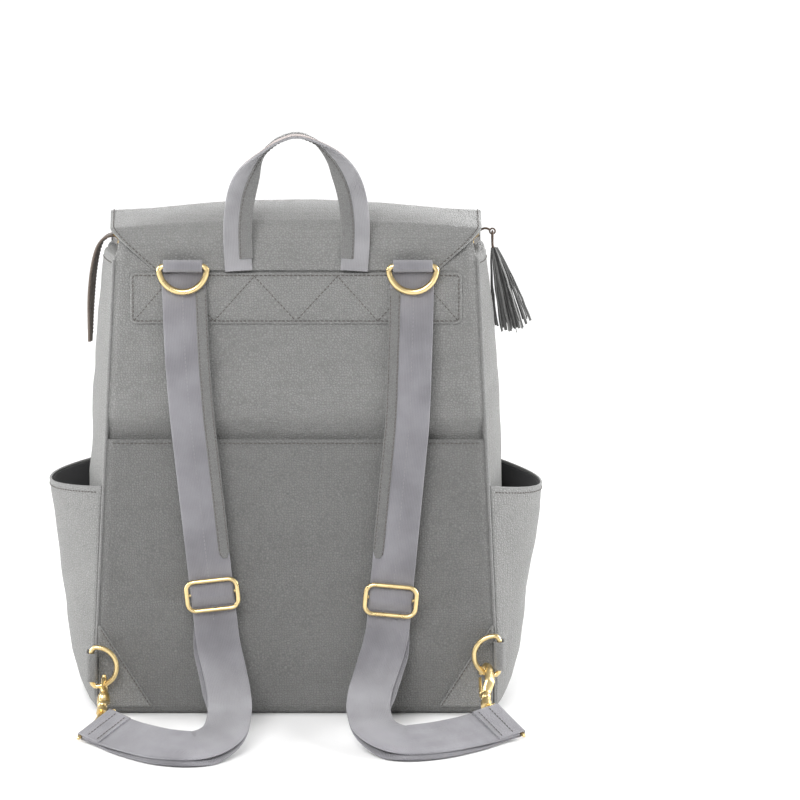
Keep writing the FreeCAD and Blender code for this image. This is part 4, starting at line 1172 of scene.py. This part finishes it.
    # the webbing's end is turned round the hook's bar and sewn back on itself
    ec, e = V3(low[-1][:3]), V3(low[-1][3:], float)
    t = ec - V3(low[-2][:3])
    t /= np.linalg.norm(t)
    e = e - t * e.dot(t)
    e /= np.linalg.norm(e)
    nn = np.cross(t, e)
    if nn[2] < 0:
        nn = -nn
    bar = ec + t * 3.0
    turn = [ec - t * 24 + nn * 1.5, ec - t * 16 + nn * 1.9, ec - t * 8 + nn * 2.4, ec + nn * 2.7]
    turn += [bar + nn * 2.75 * math.cos(math.radians(a)) + t * 2.75 * math.sin(math.radians(a)) for a in range(0, 181, 20)]
    turn += [ec - nn * 2.7, ec - t * 8 - nn * 2.6, ec - t * 18 - nn * 2.6]
    rowsT = [(*q, *e) for q in turn]
    put(mesh_obj("strap_end_turn_" + name, *strip(catmull(rowsT, 4), STRAP_W - 0.3, 1.6, lip=0.1, across=16)), M_WEB, "root", ["strap_lower_" + name])
    for back in (7.5, 20.0):
        line = [ec - t * back + e * w + nn * (2.4 + 0.85 if back < 10 else 1.75 + 0.85) for w in (-16.0, 16.0)]
        line = [line[0] + (line[1] - line[0]) * k / 12 for k in range(13)]
        stitch("root", "straps", line, nn, pitch=3.0, length=2.3)
    # upper loop of webbing round the ring's bar
    xr, cy, cz = UPPER[name][0][0], -77.0, 389.6
    loop = [(xr, -69.6, 387.2, 1, 0, 0), (xr, -71.6, 390.6, 1, 0, 0)]
    for a in range(150, -211, -20):
        t = math.radians(a - 90 + 90)
        loop.append((xr, cy - 4.5 * math.cos(math.radians(180 - a)) * 1.0, cz + 4.5 * math.sin(math.radians(a)), 1, 0, 0))
    loop = [(xr, -69.4, 388.6, 1, 0, 0), (xr, -71.4, 391.6, 1, 0, 0)] + [(xr, cy + 4.5 * math.cos(math.radians(a)), cz + 4.5 * math.sin(math.radians(a)), 1, 0, 0) for a in range(50, 341, 20)] + [(xr, -71.6, 386.6, 1, 0, 0), (xr, -69.4, 386.4, 1, 0, 0)]
    put(mesh_obj("ring_loop_webbing_" + name, *strip(catmull(loop, 3), 33.0, 1.5, lip=0.1)), M_WEB, "root", ["ring_loop_" + name])
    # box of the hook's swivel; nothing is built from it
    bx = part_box("hook_swivel_" + name)

# the webbing's fold over each slide's middle bar
SLIDE_AT = {"left": (-71.0, -91.5, 110.0), "right": (80.5, -91.5, 105.0)}
for name, s in (("left", -1), ("right", 1)):
    a0, b0 = V3(UPPER[name][-3]), V3(UPPER[name][-2])
    t = a0 - b0
    t /= np.linalg.norm(t)
    u = V3([1.0, 0, 0]) - t * t[0]
    u /= np.linalg.norm(u)
    n_ = np.cross(t, u)
    if n_[1] > 0:
        n_ = -n_
    o = V3(SLIDE_AT[name])
    rowsS = [(*(o + t * q + n_ * (0.9 + 3.0 * math.cos(math.pi * q / 19.6) ** 2)), *u) for q in np.linspace(-9.4, 9.4, 15)]
    put(mesh_obj("slide_fold_webbing_" + name, *strip(rowsS, 35.6, 1.5, lip=0.1, across=14)), M_WEB, "slide_" + name)

# corner loops of leather
CR = {"left": (-174.5, -92.0, 46.0), "right": (173.5, -92.0, 56.0)}
for name, s in (("left", -1), ("right", 1)):
    cx, cy, cz = CR[name]
    rr = 4.1
    loop = [(cx + s * (rr - 0.2), cy + 12.5, cz, 0, 0, 1), (cx + s * rr, cy + 6.0, cz, 0, 0, 1), (cx + s * rr, cy + 2.0, cz, 0, 0, 1)]
    for a in range(10, 290, 20):
        t = math.radians(a)
        loop.append((cx + s * rr * math.cos(t), cy - rr * math.sin(t), cz, 0, 0, 1))
    loop += [(cx + s * 1.2, cy + 6.5, cz, 0, 0, 1), (cx + s * 1.6, cy + 12.5, cz, 0, 0, 1)]
    put(mesh_obj("corner_loop_leather_" + name, *strip(catmull(loop, 3), 25.0, 1.7, crown=0.05)), M_TRIM, "root", ["corner_loop_" + name])

# ------------------------------------------------------------ zippers
def half_tooth(c, t, nrm, side, k=1.0):
    """One moulded tooth: a rounded block across the tape's edge; c centre, t along, nrm out, side across."""
    w, h, d = 2.3 * k, 1.0 * k, 0.62 * k
    sec = [(-1, -1), (-1, 0.45), (-0.7, 1), (0.7, 1), (1, 0.45), (1, -1)]
    v = []
    for a, sc in ((-1, 1.0), (1, 1.0)):
        for x, z in sec:
            v.append(c + side * (a * w / 2) + t * (x * d * (0.75 if a > 0 else 1.0)) + nrm * (z * h))
    n = len(sec)
    f = [(i, (i + 1) % n, n + (i + 1) % n, n + i) for i in range(n)] + [tuple(range(n - 1, -1, -1)), tuple(range(n, 2 * n))]
    v = np.array(v)
    return v, f, v[:, :2] * 0.001


ZIP_Z = 176.0
teeth = []
X3, Z3 = V3([1.0, 0, 0]), V3([0, 0, 1.0])
tz = Z3 - NF * Z3.dot(NF)
tz /= np.linalg.norm(tz)
x = -151.5
i = 0
while x <= 151.5:
    sd = 1 if i % 2 else -1
    c = V3([x, half_d(ZIP_Z + sd * 0.7) - 0.45, ZIP_Z + sd * 0.7])
    teeth.append(half_tooth(c, X3, NF, tz * -sd))
    x += 1.22
    i += 1
v, f, u = join_data(teeth)
o = mesh_obj("front_zip_teeth_metal", v, f, u, sharp=30)
bm_fix(o)
put(o, M_GOLD, "root", ["front_zipper_teeth"])
P = np.array([[V3([x, half_d(z) - 1.25, z]) for x in np.linspace(-157, 157, 40)] for z in (170.6, 173.6, 176.0, 178.4, 181.4)])
put(leather_sheet("front_zip_tape_cloth", P, 0.9, edge=0.2), M_TAPE, "root", ["front_zipper_tape"])

half = [(158.0, 1.8), (154.0, 16.0), (149.0, 36.0), (141.0, 50.0), (128.0, 53.0), (-128.0, 53.0), (-141.0, 50.0), (-149.0, 36.0), (-154.0, 16.0), (-158.0, 1.8)]
tp, th = [], []
for s in (-1, 1):
    line = catmull([(x, s * y, 402.2, 0, 0, 1) for x, y in half], 10)
    m = len(line)
    tp.append(strip(line, 6.4, 0.9, taper=[0.55 + 0.45 * smooth(0, 0.14, min(i, m - 1 - i) / m) for i in range(m)]))
    Cc = line[:, :3].copy()
    Cc[:, 2] = 406.6
    arc = np.concatenate([[0], np.cumsum(np.linalg.norm(np.diff(Cc, axis=0), axis=1))])
    a = 9.0
    while a < arc[-1] - 9:
        c = V3([np.interp(a, arc, Cc[:, k]) for k in range(3)])
        c2 = V3([np.interp(a + 0.5, arc, Cc[:, k]) for k in range(3)])
        t = (c2 - c) / np.linalg.norm(c2 - c)
        th.append(half_tooth(c, t, np.cross(t, Z3) * 1.0, Z3, 0.95))
        a += 2.6
v, f, u = join_data(tp)
put(mesh_obj("main_zip_tape_cloth", v, f, u), M_TAPE_DARK, "root", ["main_zipper_tape"])
v, f, u = join_data(th)
o = mesh_obj("main_zip_teeth_metal", v, f, u, sharp=30)
bm_fix(o)
put(o, M_GOLD, "root", ["main_zipper_teeth"])

# ------------------------------------------------------------ tassel and tail
TZ, TX = 408.0, 168.9
ring = [V3([TX, 4.6 * math.sin(t), TZ - 4.6 + 4.6 * math.cos(t)]) for t in np.linspace(0, 2 * math.pi, 36, endpoint=False)]
v1 = tube(ring, 0.85, 8, closed=True)
leg = tube([V3([TX, 0.9, TZ - 8.6]), V3([TX + 0.3, 0.9, TZ - 12]), V3([TX + 1.2, 0, TZ - 16])], 1.0, 8)
leg2 = tube([V3([TX, -0.9, TZ - 8.6]), V3([TX + 0.1, -0.9, TZ - 12]), V3([TX + 0.9, 0, TZ - 16])], 1.0, 8)
v, f, u = join_data([v1, leg, leg2])
put(mesh_obj("tassel_loop_cord", v, f, u), M_CORD, "tassel", ["tassel_loop"])
# a rounded cap at the top, where the strips meet the cord, as a narrow collar
capz, rad = [], [0.8, 1.4, 1.9, 2.3, 2.6, 2.9, 3.0, 2.8, 1.6]
for dz in (0, 0.4, 1.2, 2.6, 4.6, 6.6, 8.0, 8.6, 8.8):
    capz.append(V3([TX + 1.5 + 0.17 * dz, 0, TZ - 13.8 - dz]))
put(mesh_obj("tassel_cap_leather", *tube(capz, rad, 28)), M_TASSEL, "tassel", ["tassel_cap"])
strands = []
count = 40
for k in range(count):
    ga = 2.399963 * k
    rr = math.sqrt((k + 0.5) / count)
    sx, sy = 14.5 + RNG.uniform(-2.6, 1.6), 11.5 + RNG.uniform(-2.2, 1.2)
    ln = 74.0 + RNG.uniform(-8.5, 0.6) - 7.0 * max(0.0, math.cos(ga) * rr)
    neck = V3([TX + 1.9, 0, TZ - 14.4])
    end_ = V3([187.8, 0, TZ - 14.4 - ln])
    pts = []
    for t in np.linspace(0, 1, 11):
        p = neck * (1 - t) + end_ * t
        grow = 0.17 + 0.83 * t ** 0.85 + 0.06 * math.sin(math.pi * t)
        wob = V3([RNG.uniform(-0.3, 0.3), RNG.uniform(-0.3, 0.3), 0]) * smooth(0.05, 0.4, t)
        tw = ga + 1.3 * math.sin(k * 1.7) * t
        pts.append((*(p + V3([sx * rr * math.cos(ga) * grow, sy * rr * math.sin(ga) * grow, 0]) + wob), -math.sin(tw), math.cos(tw), 0))
    strands.append(strip(catmull(pts, 2), 2.3, 0.8, across=3))
v, f, u = join_data(strands)
put(mesh_obj("tassel_strands_leather", v, f, u), M_TASSEL, "tassel", ["tassel_strands"])

tail = [(-157.0, 0, 405.0, 0, 1, 0), (-162.0, 0, 403.8, 0.05, 1, 0), (-167.0, 0, 399.6, 0.12, 1, 0), (-171.2, 0, 390.0, 0.22, 1, 0), (-174.8, 0, 371.0, 0.28, 1, 0), (-177.0, 0, 345.0, 0.28, 1, 0), (-177.8, 0, 312.0, 0.24, 1, 0)]
R = catmull(tail, 8)
tp = np.ones(len(R))
for i in range(len(R)):
    d = (len(R) - 1 - i) / len(R)
    tp[i] = 0.55 + 0.45 * smooth(0, 0.22, d)
put(mesh_obj("zipper_tail_leather", *strip(R, 15.0, 2.2, crown=0.2, taper=tp)), M_TAIL, "zip_tail", ["zipper_tail"])
tail_length = float(np.linalg.norm(np.diff(R[:, :3], axis=0), axis=1).sum())
C, T, U, NN = frames(R)
for e in (-1, 1):
    line = C + U * (5.6 * e) * tp[:, None] + NN * 1.2
    stitch("zip_tail", "tail", line[8:-2], NN[8:-2], pitch=3.2, length=2.5)

# ------------------------------------------------------------ hooks: cast, with a broad spine; and the top slider
def swept(path, normals, side, half_in, half_side, rings=14, power=2.4):
    """Bar along path; in-plane half thickness along its normals and half width along side, both lists."""
    P = np.asarray(path, float)
    n = len(P)
    verts = []
    for i in range(n):
        for k in range(rings):
            th = 2 * math.pi * k / rings
            c_, s_ = math.cos(th), math.sin(th)
            c2 = math.copysign(abs(c_) ** (2 / power), c_)
            s2 = math.copysign(abs(s_) ** (2 / power), s_)
            verts.append(P[i] + V3(normals[i]) * half_in[i] * c2 + side * half_side[i] * s2)
    faces = []
    for i in range(n - 1):
        for k in range(rings):
            k2 = (k + 1) % rings
            faces.append((i * rings + k, i * rings + k2, (i + 1) * rings + k2, (i + 1) * rings + k))
    faces.append(tuple(range(rings - 1, -1, -1)))
    faces.append(tuple(range((n - 1) * rings, n * rings)))
    verts = np.array(verts)
    return verts, faces, verts[:, :2] * 0.001


HOOK = {
    "left": ((-164.0814, -92.924, 29.6247), (0, 0.924017, 0.382352), (0.0, -0.382352, 0.924017)),
    "right": ((161.0814, -92.83844, 40.36283), (0, 0.838444, 0.544988), (-0.5, 0.471974, -0.726113)),
}
for name in ("left", "right"):
    C_, a_, b_ = (V3(q, float) for q in HOOK[name])
    side = np.cross(a_, b_)
    RB, rh = 7.4, 2.3
    path, nrm, hi_, hs_ = [], [], [], []
    for ang in np.linspace(152, 0, 22):
        t = math.radians(ang)
        d = -b_ * math.cos(t) + a_ * math.sin(t)
        path.append(C_ + d * RB)
        nrm.append(d)
        e_ = smooth(0, 1, (152 - ang) / 150)
        hi_.append((2.0 + 0.3 * e_) * (0.45 if ang > 151 else 1.0))
        hs_.append((2.1 + 1.3 * e_) * (0.45 if ang > 151 else 1.0))
    for q in np.linspace(0, 1, 14)[1:]:
        # down the spine, then in to the swivel
        along = q * 25.5
        k = smooth(0.52, 0.95, q)
        path.append(C_ - a_ * along - b_ * (RB * (1 - k) + 0.3 * k))
        nrm.append(-b_)
        hi_.append(2.3 + 1.0 * k)
        hs_.append(3.4 + (2.3 if name == "left" else 1.2) * math.sin(math.pi * q) ** 0.7)
    body_parts = [swept(path, nrm, side, hi_, hs_)]
    # the lower arm that carries the gate, and the swivel's barrel
    arm = [C_ - b_ * 0.3 - a_ * 24.0, C_ + b_ * 3.6 - a_ * 22.6, C_ + b_ * 6.6 - a_ * 20.8, C_ + b_ * RB - a_ * 19.4]
    body_parts.append(swept(arm, [a_] * 4, side, [2.6, 2.4, 2.1, 1.2], [3.4, 3.0, 2.4, 1.4]))
    barrel = [C_ - b_ * 0.2 - a_ * q for q in (22.0, 22.6, 24.0, 26.0, 28.4, 29.0, 29.4, 30.4, 31.6, 32.0)]
    body_parts.append(tube(barrel, [2.6, 3.6, 4.1, 4.2, 4.1, 3.8, 3.4, 3.7, 3.6, 3.0], 28))
    v, f, u = join_data(body_parts)
    o = mesh_obj("hook_casting_" + name, v, f, u, sharp=50)
    bm_fix(o)
    put(o, M_GOLD, "hook_" + name, ["hook_body_" + name])

# rings: wire bent to a round D, its corners rounded
def d_ring(c, along, out, hb, deep_, r_bar, r_bow):
    R_ = (hb ** 2 + deep_ ** 2) / (2 * deep_)
    o_ = deep_ - R_
    pts, rad = [], []
    for a_, b_ in ((hb - 7, 0.0), (hb - 4.2, 0.0), (hb - 1.7, 0.7)):
        pts.append(c + along * a_ + out * b_)
        rad.append(r_bar)
    lim = math.atan2(2.8 - o_, hb)
    for th in np.linspace(lim, math.pi - lim, 40):
        pts.append(c + along * R_ * math.cos(th) + out * (o_ + R_ * math.sin(th)))
        rad.append(r_bar + (r_bow - r_bar) * smooth(0, 0.9, min(th - lim, math.pi - lim - th)))
    for a_, b_ in ((hb - 1.7, 0.7), (hb - 4.2, 0.0), (hb - 7, 0.0)):
        pts.append(c - along * a_ + out * b_)
        rad.append(r_bar)
    bow = tube(pts, rad, 16)
    return join_data([bow, tube([c - along * (hb - 6.6), c + along * (hb - 6.6)], r_bar, 16)])


for name, s, xr, cc in (("left", -1, UPPER["left"][0][0], (-174.5, -92.0, 46.0)), ("right", 1, UPPER["right"][0][0], (173.5, -92.0, 56.0))):
    v, f, u = d_ring(V3([xr, -77.0, 389.6]), V3([1.0, 0, 0]), V3([0, 0, -1.0]), 20.0, 22.0, 2.4, 2.4 + 0.3)
    put(mesh_obj("d_ring_wire_" + name, v, f, u), M_GOLD, "upper_ring_" + name, ["d_ring_" + name])
    v, f, u = d_ring(V3(cc), V3([0, 0, 1.0]), V3([-s, 0, 0.0]), 16.5, 21.5, 2.1, 2.1)
    put(mesh_obj("corner_ring_wire_" + name, v, f, u), M_GOLD, "corner_ring_" + name, ["corner_ring_" + name])
    # slide: cast frame with generous corners over the webbing, and the middle bar under it
    a0, b0 = V3(UPPER[name][-3]), V3(UPPER[name][-2])
    t = a0 - b0
    t /= np.linalg.norm(t)
    u_ = V3([1.0, 0, 0]) - t * t[0]
    u_ /= np.linalg.norm(u_)
    n_ = np.cross(t, u_)
    if n_[1] > 0:
        n_ = -n_
    o_ = V3(SLIDE_AT[name])
    w2, h2, rc = 21.6, 12.6, 7.2
    loop_ = []
    for sx, sy, st in ((1, 1, 0), (-1, 1, 90), (-1, -1, 180), (1, -1, 270)):
        for a_ in np.linspace(st, st + 90, 9):
            loop_.append(o_ + n_ * 4.5 + u_ * (sx * (w2 - rc) + rc * math.cos(math.radians(a_))) + t * (sy * (h2 - rc) + rc * math.sin(math.radians(a_))))
    frame_ = tube(loop_, 1.9, 16, closed=True)
    posts = [tube([o_ + n_ * 4.5 + u_ * sx * w2, o_ - n_ * 1.6 + u_ * sx * w2, o_ - n_ * 2.8 + u_ * sx * (w2 - 0.5), o_ - n_ * 3.2 + u_ * sx * (w2 - 1.9)], 1.5, 14) for sx in (-1, 1)]
    v, f, u = join_data([frame_, *posts, tube([o_ - n_ * 3.2 - u_ * (w2 - 1.7), o_ - n_ * 3.2 + u_ * (w2 - 1.7)], 1.5, 14)])
    put(mesh_obj("slide_frame_" + name, v, f, u), M_GOLD, "slide_" + name, ["slide_" + name])

wedge, wn_, wi_, ws_ = [], [], [], []
for q in np.linspace(0, 1, 12):
    wedge.append(V3([149.6 + 7.8 * q, 0, 405.9]))
    wn_.append(V3([0, 0, 1.0]))
    k = math.sqrt(max(0.0, 1 - (2 * q - 1) ** 6))
    wi_.append((0.4 + 1.9 * k))
    ws_.append((0.6 + (3.3 - 0.9 * q) * k))
sl = swept(wedge, wn_, V3([0, 1.0, 0]), wi_, ws_, 20, 3.2)
v, f, u = sl
o = mesh_obj("top_slider_metal", v, f, u, sharp=50)
bm_fix(o)
put(o, M_GOLD, "root", ["main_zipper_slider"])
eye_ = tube([V3([TX + 2.35 * math.cos(t), 0, TZ + 2.35 * math.sin(t)]) for t in np.linspace(0, 2 * math.pi, 28, endpoint=False)], 0.7, 10, closed=True)
bail = tube(catmull([(155.6, 0, 406.4), (158.6, 0, 409.0), (161.8, 0, 410.4), (164.6, 0, 410.2), (166.9, 0, 408.9)], 5), 0.95, 10)
v, f, u = join_data([eye_, bail])
put(mesh_obj("top_pull_cord", v, f, u), M_CORD, "root")

# ------------------------------------------------------------ CAD nodes that stay
KEEP = {M_GOLD: [  
                 "hook_gate_left", "hook_gate_right", "hook_swivel_left", "hook_swivel_right", "front_zipper_slider", "front_zipper_pull",
                 "magnet_snap_bag", "magnet_snap_flap"],
        M_BOARD: ["base_board"]}
for m_, names in KEEP.items():
    for n_ in names:
        o = frame["nodes"][n_]
        for sl in o.material_slots:
            sl.material = m_

for (body, group), items in THREADS.items():
    v, f, u = join_data(items)
    o = mesh_obj("stitching_%s_%s" % (body, group), v, f, u, sharp=0)
    put(o, M_THREAD_PALE if group.startswith("pale") else M_THREAD, body)

# ------------------------------------------------------------ floor
me = bpy.data.meshes.new("floor")
fr = 9.0
me.from_pydata([(-fr, -fr, 0), (fr, -fr, 0), (fr, 1.85, 0), (-fr, 1.85, 0)], [], [(0, 1, 2, 3)])
floor = bpy.data.objects.new("floor", me)
scene.collection.objects.link(floor)
m, nt, b = mat("pale_floor")
b.inputs["Base Color"].default_value = (0.90, 0.90, 0.90, 1)
b.inputs["Roughness"].default_value = 0.85
b.inputs["Specular IOR Level"].default_value = 0.2
me.materials.append(m)
